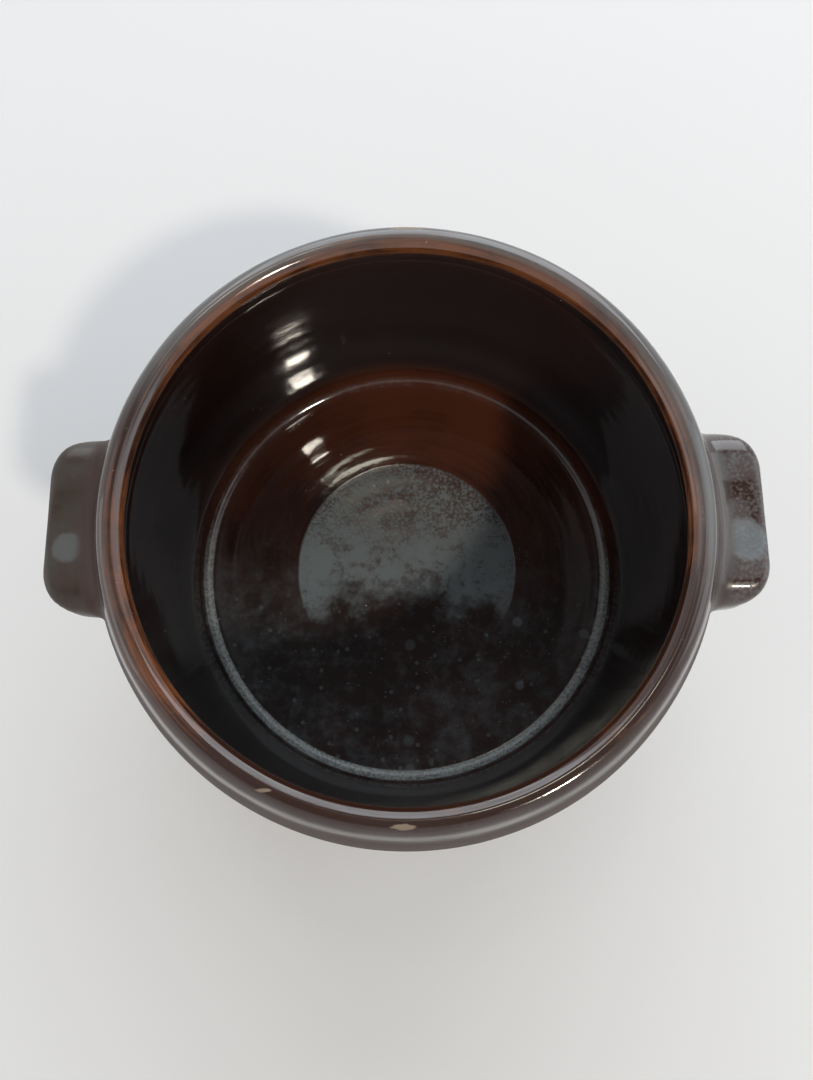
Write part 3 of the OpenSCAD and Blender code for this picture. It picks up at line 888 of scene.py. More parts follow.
@dataclass(frozen=True)
class SheathMetal:
    """Oxidised sheath of the heating element, mottled by heat."""

    colour: Colour = (0.16, 0.14, 0.125)
    scale: Colour = (0.06, 0.048, 0.042)
    rough: float = 0.42
    relief_depth: float = 0.00005

    def material(self) -> bpy.types.Material:
        """Builds the metal.

        Returns:
            The material.
        """
        s = Shader("element_sheath")
        cloud = s.noise(scale=90.0, detail=4.0, rough=0.6)
        fine = s.noise(scale=1200.0, detail=2.0)
        colour = s.mix(cloud.between(0.35, 0.65), self.colour, self.scale)
        height = cloud + fine * 0.5
        rough = self.rough + cloud * 0.25
        return s.finish(colour, rough, s.bump(height, self.relief_depth), {"Metallic": 0.85})


@dataclass(frozen=True)
class Porcelain:
    """Unglazed insulating ceramic with fine specks and grime."""

    colour: Colour = (0.72, 0.67, 0.57)
    grime: Colour = (0.5, 0.43, 0.33)
    speck: Colour = (0.25, 0.2, 0.15)
    rough: float = 0.5
    relief_depth: float = 0.00004

    def material(self) -> bpy.types.Material:
        """Builds the ceramic.

        Returns:
            The material.
        """
        s = Shader("porcelain")
        cloud = s.noise(scale=120.0, detail=4.0, rough=0.6)
        specks = s.specks(scale=1300.0, size=0.25, share=0.2)
        colour = s.mix(cloud.between(0.45, 0.8) * 0.6, self.colour, self.grime)
        colour = s.mix(specks * 0.5, colour, self.speck)
        height = s.noise(scale=1500.0, detail=3.0)
        rough = self.rough + cloud * 0.25
        return s.finish(colour, rough, s.bump(height, self.relief_depth), {"IOR": 1.5})


@dataclass(frozen=True)
class PlatedMetal:
    """Plated or bare metal with tarnish, fine scratches along one way and a grain."""

    name: str
    colour: Colour
    tarnish: Colour
    rough: float
    scratch_scale: Point
    relief_depth: float = 0.00002

    def material(self) -> bpy.types.Material:
        """Builds the metal.

        Returns:
            The material.
        """
        s = Shader(self.name)
        cloud = s.noise(scale=110.0, detail=4.0, rough=0.6)
        lines = s.noise(scale=1.0, detail=2.0, rough=0.5, vector=s.stretched(self.scratch_scale))
        spangle = s.noise(scale=500.0, detail=2.0)
        dull = (cloud + spangle * 0.25).between(0.45, 0.9)
        colour = s.mix(dull * 0.6, self.colour, self.tarnish)
        height = lines + spangle * 0.3
        rough = self.rough + dull * 0.2 + lines * 0.1
        return s.finish(colour, rough, s.bump(height, self.relief_depth), {"Metallic": 1.0})


@dataclass(frozen=True)
class MattPaint:
    """Matt dark paint on the bottom cover, textured and scuffed."""

    colour: Colour = (0.05, 0.047, 0.045)
    lighter: Colour = (0.075, 0.07, 0.065)
    scuff: Colour = (0.19, 0.185, 0.18)
    rough: float = 0.55
    scuff_scale: Point = (60.0, 900.0, 60.0)
    scuff_turn: Point = (0.0, 0.0, 0.6)
    relief_depth: float = 0.00005

    def material(self) -> bpy.types.Material:
        """Builds the paint.

        Returns:
            The material.
        """
        s = Shader("matt_paint")
        cloud = s.noise(scale=40.0, detail=4.0, rough=0.6)
        along = s.stretched(self.scuff_scale, self.scuff_turn)
        lines = s.noise(scale=1.0, detail=3.0, rough=0.6, vector=along)
        scuffed = (lines * 0.7 + cloud * 0.5).between(0.66, 0.78)
        colour = s.mix(cloud.between(0.3, 0.7) * 0.5, self.colour, self.lighter)
        colour = s.mix(scuffed * 0.5, colour, self.scuff)
        height = s.noise(scale=1100.0, detail=2.0)
        rough = self.rough + cloud * 0.2
        return s.finish(colour, rough, s.bump(height, self.relief_depth), {"IOR": 1.5})


@dataclass(frozen=True)
class FootRubber:
    """Black rubber, dusty where it stands on the table."""

    colour: Colour = (0.022, 0.021, 0.02)
    lighter: Colour = (0.035, 0.034, 0.032)
    dust: Colour = (0.13, 0.12, 0.11)
    rough: float = 0.62
    dusty_z: Span = (0.0022, 0.0002)
    relief_depth: float = 0.00005

    def material(self) -> bpy.types.Material:
        """Builds the rubber.

        Returns:
            The material.
        """
        s = Shader("foot_rubber")
        cloud = s.noise(scale=220.0, detail=4.0, rough=0.6)
        fine = s.noise(scale=1800.0, detail=2.0)
        dusty = s.axis("Z").between(*self.dusty_z) * cloud.between(0.3, 0.65)
        colour = s.mix(cloud * 0.5, self.colour, self.lighter)
        colour = s.mix(dusty * 0.7, colour, self.dust)
        height = fine + cloud * 0.5
        rough = self.rough + cloud * 0.2
        return s.finish(colour, rough, s.bump(height, self.relief_depth), {"IOR": 1.45})


@dataclass(frozen=True)
class GlassBraid:
    """Woven glass sleeve of the leads."""

    colour: Colour = (0.6, 0.55, 0.44)
    shade: Colour = (0.34, 0.3, 0.22)
    rough: float = 0.7
    pitch: float = 5200.0
    relief_depth: float = 0.0001

    def material(self) -> bpy.types.Material:
        """Builds the braid.

        Returns:
            The material.
        """
        s = Shader("glass_braid")
        x = s.axis("X")
        y = s.axis("Y")
        z = s.axis("Z")
        one = ((x + y + z) * self.pitch).sine()
        two = ((x - y + z) * self.pitch).sine()
        weave = one * two * 0.5 + 0.5
        grime = s.noise(scale=300.0, detail=3.0)
        colour = s.mix(weave, self.shade, self.colour)
        colour = s.mix(grime.between(0.5, 0.85) * 0.5, colour, self.shade)
        rough = self.rough + grime * 0.15
        return s.finish(colour, rough, s.bump(weave, self.relief_depth), {"IOR": 1.5})


FINISHES: dict[Slot, Finish] = {
    Slot.GLAZE: Glaze(),
    Slot.ENAMEL: Enamel(),
    Slot.ALUMINIUM: TurnedAluminium(),
    Slot.SHEATH: SheathMetal(),
    Slot.CERAMIC: Porcelain(),
    Slot.PLATED: PlatedMetal(
        name="zinc_plate",
        colour=(0.58, 0.58, 0.57),
        tarnish=(0.4, 0.37, 0.31),
        rough=0.26,
        scratch_scale=(900.0, 60.0, 60.0),
    ),
    Slot.COVER_PAINT: MattPaint(),
    Slot.RUBBER: FootRubber(),
    Slot.BRASS: PlatedMetal(
        name="brass",
        colour=(0.68, 0.5, 0.22),
        tarnish=(0.33, 0.2, 0.09),
        rough=0.24,
        scratch_scale=(60.0, 900.0, 60.0),
    ),
    Slot.BIMETAL: PlatedMetal(
        name="bimetal_strip",
        colour=(0.52, 0.46, 0.38),
        tarnish=(0.3, 0.22, 0.2),
        rough=0.3,
        scratch_scale=(40.0, 1500.0, 40.0),
    ),
    Slot.NICKEL: PlatedMetal(
        name="nickel_plate",
        colour=(0.7, 0.68, 0.64),
        tarnish=(0.5, 0.45, 0.36),
        rough=0.16,
        scratch_scale=(1500.0, 80.0, 1500.0),
    ),
    Slot.BRAID: GlassBraid(),
}


def smooth_min(a: float, b: float, blend: float) -> float:
    """Smaller of two distances, rounded where they are about equal.

    Args:
        a: First distance.
        b: Second distance.
        blend: Difference below which the two run together.

    Returns:
        The blended distance.
    """
    near = max(blend - abs(a - b), 0.0) / blend
    return min(a, b) - near * near * blend / 4.0


def rounded(a: float, b: float, rad: float) -> float:
    """Distance to a corner between two faces that is rounded off.

    Args:
        a: Distance to the first face.
        b: Distance to the second face.
        rad: Radius of the rounding.

    Returns:
        The distance, negative inside both faces.
    """
    a += rad
    b += rad
    return math.hypot(max(a, 0.0), max(b, 0.0)) + min(max(a, b), 0.0) - rad


def arc(centre: Span, rad: float, start: float, end: float, count: int) -> Profile:
    """Points on an arc in the radius and height plane, the first one left out.

    Args:
        centre: Radius and height of the arc's centre.
        rad: Radius of the arc.
        start: First angle in radians.
        end: Last angle in radians.
        count: Number of steps.

    Returns:
        The points, in order.
    """
    angles = (start + (end - start) * i / count for i in range(1, count + 1))
    return [(centre[0] + rad * math.cos(a), centre[1] + rad * math.sin(a)) for a in angles]


@dataclass
class Crock:
    """The stoneware crock: a turned body with two lugs pulled out of its wall.

    The arcs of the lip and of the wall's inside stop short of the crease where they meet, each by an angle in
    radians.
    """

    # Turned body
    ledge_z: float = 0.036
    belly_r: float = 0.0942
    bulge: float = 0.0062
    lip_rad: float = 0.004
    shoulder_rad: float = 0.0872
    side_rad: float = 0.45
    wall_t: float = 0.0072
    height: float = 0.13
    floor_t: float = 0.011
    heel_rad: float = 0.012
    floor_rad: float = 0.006
    disc_r: float = 0.042
    disc_rise: float = 0.0004
    disc_edge: float = 0.004
    ring_r: float = 0.074
    ring_w: float = 0.009
    ring_h: float = 0.005
    ring_worn: float = 0.001
    root_out: float = 0.0003
    root_down: float = 0.0002
    hollow_d: float = 0.003
    lip_short: float = 0.12
    wall_short: float = 0.008
    # Lugs and their thumb dishes
    lug_reach: float = 0.0127
    lug_len: float = 0.054
    lug_t: float = 0.013
    lug_root_t: float = 0.004
    lug_corner: float = 0.013
    lug_edge: float = 0.003
    lug_end_rad: float = 0.009
    lug_drop: float = 0.018
    lug_fillet: float = 0.004
    end_blend: float = 0.001
    dish_blend: float = 0.0012
    dish_inset: float = 0.0075
    dish_rad: float = 0.04
    dish_d: float = 0.0018
    # Steps of the mesh
    turns: int = 360
    hollow_steps: int = 6
    worn_steps: int = 5
    heel_steps: int = 12
    wall_steps: int = 22
    margin_steps: int = 4
    shoulder_steps: int = 8
    lip_steps: int = 30
    inner_shoulder_steps: int = 16
    inner_side_steps: int = 40
    corner_steps: int = 9
    floor_steps: int = 40
    merge_gap: float = 0.000001
    lug_margin: float = 0.006
    lug_columns: int = 17
    column_slack: float = 0.4
    side_share: float = 0.9
    lug_rows: int = 16
    lug_steps: int = 12
    # Reach and rounds of the shaping near the lugs
    shaped_below: float = 0.008
    shaped_above: float = 0.006
    shaped_beside: float = 0.008
    shaped_inside: float = 0.001
    first_rounds: int = 4
    smooth_passes: int = 3
    smooth_share: float = 0.4
    later_rounds: int = 2
    # Unevenness left by throwing: heights, scales and pitches
    sway: float = 0.00012
    sway_scale: float = 24.0
    ripple: float = 0.00003
    ripple_scale: float = 70.0
    wander: float = 2.0
    wander_scale: float = 14.0
    wall_rings: float = 0.00001
    wall_ring_pitch: float = 0.0085
    floor_rings: float = 0.00006
    floor_ring_pitch: float = 0.0115
    floor_ring_fade: float = 0.02
    inner_slack: float = 0.0002
    floor_slack: float = 0.001
    # Bulge per metre that counts as flat and as a sharp ridge
    ridge_flat: float = 14.0
    ridge_sharp: float = 62.0
    ridge_rounds: int = 3

    def __post_init__(self) -> None:
        """Works out the centres and end angles of the tangent arcs."""
        self.mouth_r = self.belly_r - self.bulge - 2 * self.lip_rad
        self.lip_c = (self.mouth_r + self.lip_rad, self.ledge_z + self.height - self.lip_rad)
        reach = self.shoulder_rad - self.lip_rad
        self.shoulder_end = math.acos(1 - self.bulge / reach)
        self.belly_z = self.lip_c[1] - reach * math.sin(self.shoulder_end)
        self.shoulder_c = (self.belly_r - self.shoulder_rad, self.belly_z)
        self.side_c = (self.belly_r - self.side_rad, self.belly_z)
        self.floor_z = self.ledge_z + self.hollow_d + self.floor_t
        self.lug_x = self.belly_r + self.lug_reach
        self.lug_top = self.lip_c[1] - self.lug_drop + self.lug_t / 2
        self.lug_low = self.lug_top - self.lug_t - self.lug_root_t
        self.inner_rad = self.shoulder_rad - self.wall_t
        square = reach * reach + self.inner_rad * self.inner_rad - self.lip_rad * self.lip_rad
        self.crease = self.shoulder_end - math.acos(square / (2 * reach * self.inner_rad))

    def outer_r(self, z: float) -> float:
        """Radius of the wall's outside.

        Args:
            z: A height.

        Returns:
            The radius there.
        """
        centre, rad = (self.side_c, self.side_rad)
        if z > self.belly_z:
            centre, rad = (self.shoulder_c, self.shoulder_rad)
        return centre[0] + math.sqrt(rad * rad - (z - self.belly_z) ** 2)

    def wall_rows(self, start: float, end: float, count: int) -> Profile:
        """Points up the wall's outside, the first height left out.

        Args:
            start: First height.
            end: Last height.
            count: Number of steps.

        Returns:
            Points as radius and height.
        """
        heights = (start + (end - start) * i / count for i in range(1, count + 1))
        return [(self.outer_r(z), z) for z in heights]

    def outline(self) -> Profile:
        """Half section of the body, from the axis underneath to the axis inside.

        Returns:
            Points as radius and height.
        """
        return self.foot_points() + self.outer_points() + self.inner_points()

    def foot_points(self) -> Profile:
        """Hollow and foot ring, with worn edges.

        Returns:
            Points as radius and height.
        """
        foot = self.ledge_z
        hollow = foot + self.hollow_d
        inner_r = self.ring_r - self.ring_w
        speckle_and_dish_reflection = self.ring_worn
        points = [(inner_r * i / self.hollow_steps, hollow) for i in range(self.hollow_steps)]
        points += [(inner_r - 2 * speckle_and_dish_reflection, hollow), (inner_r - speckle_and_dish_reflection, hollow)]
        points += arc((inner_r + speckle_and_dish_reflection, foot + speckle_and_dish_reflection), speckle_and_dish_reflection, math.pi, 1.5 * math.pi, self.worn_steps)
        points += arc((self.ring_r - speckle_and_dish_reflection, foot + speckle_and_dish_reflection), speckle_and_dish_reflection, -0.5 * math.pi, 0.0, self.worn_steps)
        ring_top = foot + self.ring_h
        root = (self.ring_r + self.root_out, ring_top - self.root_down)
        return points + [(self.ring_r, ring_top - speckle_and_dish_reflection), root]

    def outer_points(self) -> Profile:
        """Heel, wall and lip, with close rows where the lugs stand.

        Returns:
            Points as radius and height.
        """
        ring_top = self.ledge_z + self.ring_h
        swing = self.side_rad - self.heel_rad
        heel_end = math.asin((self.belly_z - self.heel_rad - ring_top) / swing)
        heel_c = (self.side_c[0] + swing * math.cos(heel_end), self.side_c[1] - swing * math.sin(heel_end))
        points = arc(heel_c, self.heel_rad, -math.pi / 2, -heel_end, self.heel_steps)
        margin_z = self.lug_low - self.lug_margin
        points += self.wall_rows(points[-1][1], margin_z, self.wall_steps)
        points += self.wall_rows(margin_z, self.lug_low, self.margin_steps)
        points += self.wall_rows(self.lug_low, self.lug_top, self.lug_rows)
        lip_start = self.shoulder_c[1] + self.shoulder_rad * math.sin(self.shoulder_end)
        points += self.wall_rows(self.lug_top, lip_start, self.shoulder_steps)
        crease_r = self.shoulder_c[0] + self.inner_rad * math.cos(self.crease)
        crease_z = self.shoulder_c[1] + self.inner_rad * math.sin(self.crease)
        lip_end = 2 * math.pi + math.atan2(crease_z - self.lip_c[1], crease_r - self.lip_c[0])
        lip_end -= self.lip_short
        return points + arc(self.lip_c, self.lip_rad, self.shoulder_end, lip_end, self.lip_steps)

    def inner_points(self) -> Profile:
        """Inside of the wall, and the floor with its raised middle.

        Returns:
            Points as radius and height.
        """
        start = self.crease - self.wall_short
        points = arc(self.shoulder_c, self.inner_rad, start, 0.0, self.inner_shoulder_steps)
        inner_side = self.side_rad - self.wall_t
        swing = inner_side - self.floor_rad
        floor_end = math.asin((self.belly_z - self.floor_rad - self.floor_z) / swing)
        points += arc(self.side_c, inner_side, 0.0, -floor_end, self.inner_side_steps)
        floor_c = (self.side_c[0] + swing * math.cos(floor_end), self.side_c[1] - swing * math.sin(floor_end))
        points += arc(floor_c, self.floor_rad, -floor_end, -math.pi / 2, self.corner_steps)
        for i in range(1, self.floor_steps + 1):
            r = floor_c[0] * (self.floor_steps - i) / self.floor_steps
            t = min(max((self.disc_r - r) / self.disc_edge, 0.0), 1.0)
            points.append((r, self.floor_z + self.disc_rise * t * t * (3 - 2 * t)))
        return points

    def turned(self) -> bmesh.types.BMesh:
        """Spins the half section into the body.

        Returns:
            A closed mesh, normals outwards.
        """
        bm = bmesh.new()
        line = [bm.verts.new((r, 0.0, z)) for r, z in self.outline()]
        edges = [bm.edges.new(pair) for pair in zip(line, line[1:])]
        bmesh.ops.spin(
            bm,
            geom=line + edges,
            cent=(0.0, 0.0, 0.0),
            axis=(0.0, 0.0, 1.0),
            dvec=(0.0, 0.0, 0.0),
            angle=2 * math.pi,
            steps=self.turns,
            use_merge=True,
            use_normal_flip=False,
            use_duplicate=False,
        )
        bmesh.ops.remove_doubles(bm, verts=bm.verts[:], dist=self.merge_gap)
        bmesh.ops.recalc_face_normals(bm, faces=bm.faces[:])
        return bm

    def pull_lug(self, bm: bmesh.types.BMesh, side: float) -> None:
        """Extrudes a patch of the wall out to the lug's rounded end.

        Args:
            bm: The body.
            side: 1 for the lug at +X, -1 for the one at -X.
        """
        widest = math.radians((self.lug_columns - self.column_slack) * 360 / self.turns)
        aim = bm.verts.layers.float_vector.new("lug_end")
        patch = []
        for face in bm.faces:
            c = face.calc_center_median()
            if c.x * side < self.belly_r * self.side_share or not self.lug_low < c.z < self.lug_top:
                continue
            outside = math.hypot(c.x, c.y) > self.belly_r - self.wall_t / 2
            if outside and abs(math.atan2(c.y, c.x * side)) < widest:
                patch.append(face)
        half_turn = math.radians(self.lug_columns * 360 / self.turns)
        middle = (self.lug_top + self.lug_low) / 2
        half_t = (self.lug_top - self.lug_low) / 2
        for v in {v for face in patch for v in face.verts}:
            along = math.atan2(v.co.y, v.co.x * side) / half_turn
            v[aim] = self.lug_end(along, (v.co.z - middle) / half_t, side)
        for step in range(self.lug_steps):
            made = bmesh.ops.extrude_face_region(bm, geom=patch)["geom"]
            bmesh.ops.delete(bm, geom=patch, context="FACES")
            patch = [g for g in made if isinstance(g, bmesh.types.BMFace)]
            for v in (g for g in made if isinstance(g, bmesh.types.BMVert)):
                v.co += (v[aim] - v.co) / (self.lug_steps - step)
        bm.verts.layers.float_vector.remove(aim)

    def lug_span(self, x: float) -> Span:
        """Height of a lug's middle and half its thickness, at a distance from the axis."""
        rise = self.lug_root_t * min(max((x - self.belly_r) / self.lug_reach, 0.0), 1.0)
        return (self.lug_top + self.lug_low + rise) / 2, (self.lug_top - self.lug_low - rise) / 2

    def lug_end(self, along: float, up: float, side: float) -> Vector:
        """Point on the rounded edge of a lug.

        Args:
            along: Place on its outline seen from above, from -1 to 1.
            up: Place on the edge's section, from -1 at the bottom to 1 at the top.
            side: 1 for the lug at +X, -1 for the one at -X.

        Returns:
            The point.
        """
        flat_y = self.lug_len / 2 - self.lug_corner
        run_y = min(abs(along), 1.0) * (flat_y + self.lug_corner * math.pi / 2)
        swing = max(run_y - flat_y, 0.0) / self.lug_corner
        corner_x = self.lug_x - self.lug_corner
        middle, half_t = self.lug_span(corner_x + self.lug_corner * math.cos(swing))
        flat_z = half_t - self.lug_edge
        run_z = min(abs(up), 1.0) * (flat_z + self.lug_edge * math.pi / 2)
        tilt = max(run_z - flat_z, 0.0) / self.lug_edge
        rad = self.lug_corner - self.lug_edge * (1 - math.cos(tilt))
        y = min(run_y, flat_y) + rad * math.sin(swing)
        rise = min(run_z, flat_z) + self.lug_edge * math.sin(tilt)
        x = corner_x + rad * math.cos(swing)
        return Vector((x * side, math.copysign(y, along), middle + math.copysign(rise, up)))

    def distance(self, p: Vector) -> float:
        """Signed distance to the outside of the wall and the lugs.

        Args:
            p: A point near a lug.

        Returns:
            About the distance, negative inside the clay.
        """
        x = abs(p.x)
        y = abs(p.y)
        r = math.hypot(x, y)
        if p.z > self.belly_z:
            wall = math.hypot(r - self.shoulder_c[0], p.z - self.belly_z) - self.shoulder_rad
        else:
            wall = math.hypot(r - self.side_c[0], p.z - self.belly_z) - self.side_rad
        middle, half_t = self.lug_span(x)
        plan = rounded(x - self.lug_x, y - self.lug_len / 2, self.lug_corner)
        lug = rounded(plan, abs(p.z - middle) - half_t, self.lug_edge)
        end = rounded(y - self.lug_len / 2, p.z - self.lug_top, self.lug_end_rad)
        lug = -smooth_min(-lug, -end, self.end_blend)
        ball_z = self.lug_top - self.dish_d + self.dish_rad
        ball = Vector((x - (self.lug_x - self.dish_inset), y, p.z - ball_z))
        lug = -smooth_min(-lug, ball.length - self.dish_rad, self.dish_blend)
        return smooth_min(wall, lug, self.lug_fillet)

    def settle(self, verts: Sequence[bmesh.types.BMVert], rounds: int) -> None:
        """Moves points onto the outside of the wall and lugs.

        Args:
            verts: The points near the lugs.
            rounds: Number of steps towards the surface.
        """
        tiny = 1e-5
        for _ in range(rounds):
            for v in verts:
                here = self.distance(v.co)
                slope = Vector((
                    self.distance(v.co + Vector((tiny, 0.0, 0.0))) - here,
                    self.distance(v.co + Vector((0.0, tiny, 0.0))) - here,
                    self.distance(v.co + Vector((0.0, 0.0, tiny))) - here,
                ))
                if slope.length > 0.0:
                    v.co -= slope.normalized() * here

    def near_lugs(self, bm: bmesh.types.BMesh) -> list[bmesh.types.BMVert]:
        """Points of the outer wall and lugs that shaping may move.

        Args:
            bm: The body with its lugs.

        Returns:
            The points.
        """
        low = self.lug_low - self.shaped_below
        high = self.lug_top + self.shaped_above
        wide = self.lug_len / 2 + self.shaped_beside
        inner_r = self.belly_r - self.wall_t / 2 - self.shaped_inside
        return [
            v for v in bm.verts
            if low < v.co.z < high and abs(v.co.y) < wide and math.hypot(v.co.x, v.co.y) > inner_r
        ]

    def hand_marks(self, bm: bmesh.types.BMesh) -> None:
        """Gives the surface the slight unevenness of a thrown and glazed pot.

        Args:
            bm: The finished form.
        """
        bm.normal_update()
        inner_r = self.belly_r - self.wall_t + self.inner_slack
        moves = []
        for v in bm.verts:
            p = v.co
            r = math.hypot(p.x, p.y)
            push = self.sway * noise.noise(p * self.sway_scale)
            push += self.ripple * noise.noise(p * self.ripple_scale)
            if r < inner_r and p.z > self.floor_z - self.floor_slack:
                drift = math.atan2(p.y, p.x) + self.wander * noise.noise(p * self.wander_scale)
                if p.z > self.floor_z + self.floor_rad:
                    push += self.wall_rings * math.sin(2 * math.pi * p.z / self.wall_ring_pitch + drift)
                elif r < self.mouth_r - self.floor_rad:
                    fade = min(r / self.floor_ring_fade, 1.0)
                    wave = math.sin(2 * math.pi * r / self.floor_ring_pitch + drift)
                    push += self.floor_rings * fade * wave
            moves.append(v.normal * push)
        for v, move in zip(bm.verts, moves):
            v.co += move

    def ridges(self, bm: bmesh.types.BMesh) -> list[float]:
        """How sharply the surface bulges at each point, from 0 for flat to 1 for the lip.

        Args:
            bm: The finished form.

        Returns:
            One value for each point, in order.
        """
        bm.normal_update()
        tiny = 1e-12
        bend = []
        for v in bm.verts:
            total = 0.0
            for edge in v.link_edges:
                away = v.co - edge.other_vert(v).co
                total += v.normal.dot(away) / max(away.length_squared, tiny)
            bend.append(total / max(len(v.link_edges), 1))
        bm.verts.index_update()
        for _ in range(self.ridge_rounds):
            bend = [
                (bend[v.index] + sum(bend[e.other_vert(v).index] for e in v.link_edges))
                / (1 + len(v.link_edges))
                for v in bm.verts
            ]
        rise = self.ridge_sharp - self.ridge_flat
        return [min(max((b - self.ridge_flat) / rise, 0.0), 1.0) for b in bend]

    def build(self) -> bpy.types.Object:
        """Makes the crock's mesh, its attribute and its finish.

        Returns:
            The crock, riding on its body in place of the plain solid.
        """
        bm = self.turned()
        for side in (1.0, -1.0):
            self.pull_lug(bm, side)
        verts = self.near_lugs(bm)
        self.settle(verts, self.first_rounds)
        every_way = {"use_axis_x": True, "use_axis_y": True, "use_axis_z": True}
        for _ in range(self.smooth_passes):
            bmesh.ops.smooth_vert(bm, verts=verts, factor=self.smooth_share, **every_way)
            self.settle(verts, self.later_rounds)
        self.hand_marks(bm)
        ridges = self.ridges(bm)
        mesh = bpy.data.meshes.new("glazed_crock")
        bm.to_mesh(mesh)
        bm.free()
        mesh.attributes.new("ridge", "FLOAT", "POINT").data.foreach_set("value", ridges)
        mesh.shade_smooth()
        piece = bpy.data.objects.new("glazed_crock", mesh)
        bpy.context.scene.collection.objects.link(piece)
        mesh.materials.append(FINISHES[Slot.GLAZE].material())
        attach(piece, "crock")
        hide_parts("crock")
        return piece


@dataclass
class WarmingBase:
    """The base under the crock, whose solids keep their shapes and get their finishes."""

    frame: Mapping[str, Any]

    def dress(self) -> list[str]:
        """Gives each solid of the base the finish of its slot.

        Returns:
            Names of the solids, in order.
        """
        made: dict[Slot, bpy.types.Material] = {}
        names = []
        for row in self.frame["record"]["subparts"]:
            slot = Slot(row["material_slot"])
            if slot is Slot.GLAZE:
                continue
            if slot not in made:
                made[slot] = FINISHES[slot].material()
            piece = self.frame["nodes"][row["node"]]
            piece.data.materials.clear()
            piece.data.materials.append(made[slot])
            names.append(row["node"])
        return names


@dataclass(frozen=True)
class Lamp:
    """A soft box, with its width and height and the brightness of its face."""

    name: str
    place: Point
    size: Span
    glow: float
    tint: Colour

    def hang(self, aim: Point) -> None:
        """Hangs the lamp.

        Args:
            aim: The point that it faces.
        """
        light = bpy.data.lights.new(self.name, "AREA")
        light.shape = "RECTANGLE"
        width, height = self.size
        light.size = width
        light.size_y = height
        light.energy = self.glow * math.pi * width * height
        light.color = self.tint
        piece = bpy.data.objects.new(self.name, light)
        piece.location = self.place
        piece.rotation_euler = (Vector(aim) - Vector(self.place)).to_track_quat("-Z", "Y").to_euler()
        bpy.context.scene.collection.objects.link(piece)


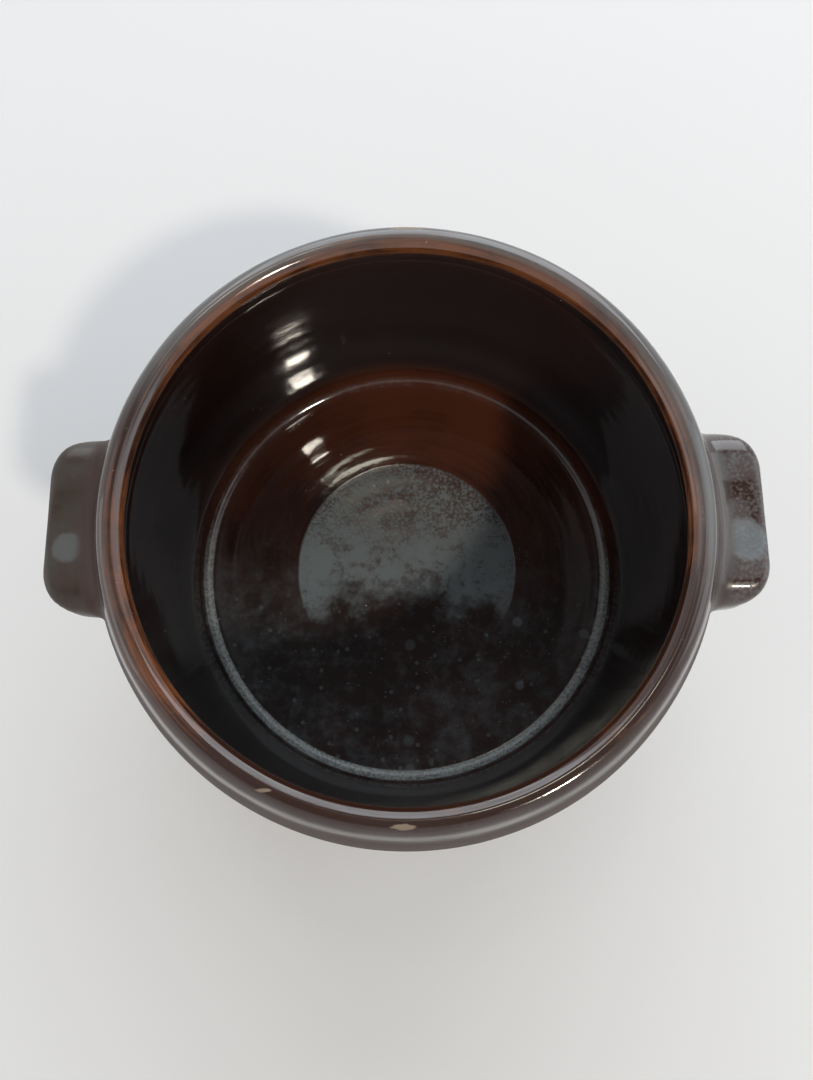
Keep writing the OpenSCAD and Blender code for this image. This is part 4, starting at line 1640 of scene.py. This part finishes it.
@dataclass
class Studio:
    """Floor, lamps, surroundings and camera."""

    floor_half: float = 8.0
    floor_colour: Colour = (0.72, 0.72, 0.72)
    floor_cloud: Colour = (0.69, 0.69, 0.69)
    floor_rough: float = 0.9
    floor_end: Span = (0.7, 1.8)
    wall_colour: Colour = (0.8, 0.805, 0.81)
    sky: tuple[tuple[float, Colour], ...] = (
        (0.12, (0.8, 0.805, 0.81)),
        (0.5, (0.66, 0.67, 0.69)),
        (0.78, (0.48, 0.49, 0.51)),
        (0.88, (0.05, 0.05, 0.053)),
    )
    pot: Point = (0.0, 0.0, 0.12)
    lamps: tuple[Lamp, ...] = (
        Lamp("window_box", (0.15, 1.53, 1.07), (2.0, 1.8), 2.4, (0.88, 0.94, 1.0)),
        Lamp("right_box", (1.5, 0.15, 0.95), (1.2, 1.1), 0.9, (0.92, 0.96, 1.0)),
        Lamp("left_box", (-1.5, -0.1, 0.8), (1.0, 0.8), 0.9, (1.0, 0.98, 0.95)),
        Lamp("upper_right_box", (0.85, 0.35, 1.65), (0.7, 0.9), 0.9, (0.88, 0.94, 1.0)),
        Lamp("upper_left_box", (-0.85, 0.2, 1.65), (0.7, 0.9), 0.6, (0.96, 0.97, 1.0)),
        Lamp("ceiling_lamp", (-0.14, 0.64, 2.1), (0.2, 0.16), 8.0, (1.0, 0.97, 0.8)),
        Lamp("warm_lamp", (0.6, -0.78, 1.63), (0.13, 0.13), 215.0, (1.0, 0.91, 0.78)),
    )
    photo_h: float = 1080.0
    focal_px: float = 1000.0
    axis_y_px: float = 460.0
    tilt_deg: float = 14.83
    turn_deg: float = -0.67
    camera_back: float = 0.0591
    camera_z: float = 0.4403
    sensor: float = 36.0
    clip_start: float = 0.01

    def floor(self) -> None:
        """Lays a wide pale floor under the feet."""
        bm = bmesh.new()
        bmesh.ops.create_grid(bm, x_segments=1, y_segments=1, size=self.floor_half)
        mesh = bpy.data.meshes.new("floor")
        bm.to_mesh(mesh)
        bm.free()
        piece = bpy.data.objects.new("floor", mesh)
        bpy.context.scene.collection.objects.link(piece)
        mesh.materials.append(self.floor_finish())

    def floor_finish(self) -> bpy.types.Material:
        """Matt pale floor that runs into the pale walls far away.

        Returns:
            The material.
        """
        s = Shader("pale_floor")
        shade = s.mix(s.noise(scale=3.0, detail=2.0) * 0.3, self.floor_colour, self.floor_cloud)
        near = s.value("ShaderNodeBsdfPrincipled", {}, {"Base Color": shade, "Roughness": self.floor_rough})
        far = s.value("ShaderNodeEmission", {}, {"Color": self.wall_colour, "Strength": 1.0})
        path = s.node("ShaderNodeLightPath", {}, {})
        seen = Socket(s, path.outputs["Is Camera Ray"]) + Socket(s, path.outputs["Is Glossy Ray"])
        seen = seen + Socket(s, path.outputs["Is Transmission Ray"])
        away = s.radius().between(*self.floor_end) * seen
        both = s.value("ShaderNodeMixShader", {}, {0: away, 1: near, 2: far})
        s.node("ShaderNodeOutputMaterial", {}, {"Surface": both})
        return s.material

    def surroundings(self) -> None:
        """Pale walls that fade to a dark ceiling."""
        world = bpy.data.worlds.new("studio")
        world.use_nodes = True
        nodes = Nodes(world.node_tree, "Generated")
        sky = nodes.value("ShaderNodeValToRGB", {"stops": self.sky}, {0: nodes.axis("Z")})
        glow = nodes.value("ShaderNodeBackground", {}, {"Color": sky})
        nodes.node("ShaderNodeOutputWorld", {}, {"Surface": glow})
        bpy.context.scene.world = world

    def camera(self) -> None:
        """Sets the camera over the mouth, as the photograph was taken."""
        lens = bpy.data.cameras.new("camera")
        lens.sensor_width = self.sensor
        lens.lens = self.sensor * self.focal_px / self.photo_h
        lens.shift_y = (self.axis_y_px - self.photo_h / 2) / self.photo_h
        lens.clip_start = self.clip_start
        piece = bpy.data.objects.new("camera", lens)
        turn = math.radians(self.turn_deg)
        piece.location = (
            self.camera_back * math.sin(turn),
            -self.camera_back * math.cos(turn),
            self.camera_z,
        )
        piece.rotation_euler = (math.radians(self.tilt_deg), 0.0, turn)
        bpy.context.scene.collection.objects.link(piece)
        bpy.context.scene.camera = piece

    def build(self) -> None:
        """Puts the studio up."""
        bpy.context.scene.view_settings.view_transform = "Standard"
        self.camera()
        self.floor()
        for lamp in self.lamps:
            lamp.hang(self.pot)
        self.surroundings()


def main() -> None:
    """Builds the pot and its studio, and logs the crock's face count and each dressed solid."""
    logging.basicConfig(level=logging.INFO, format="%(message)s")
    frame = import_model()
    Studio().build()
    crock = Crock().build()
    LOG.info("%s: %d faces", crock.name, len(crock.data.polygons))
    for name in WarmingBase(frame).dress():
        LOG.info("%s dressed", name)


if __name__ == "__main__":
    main()
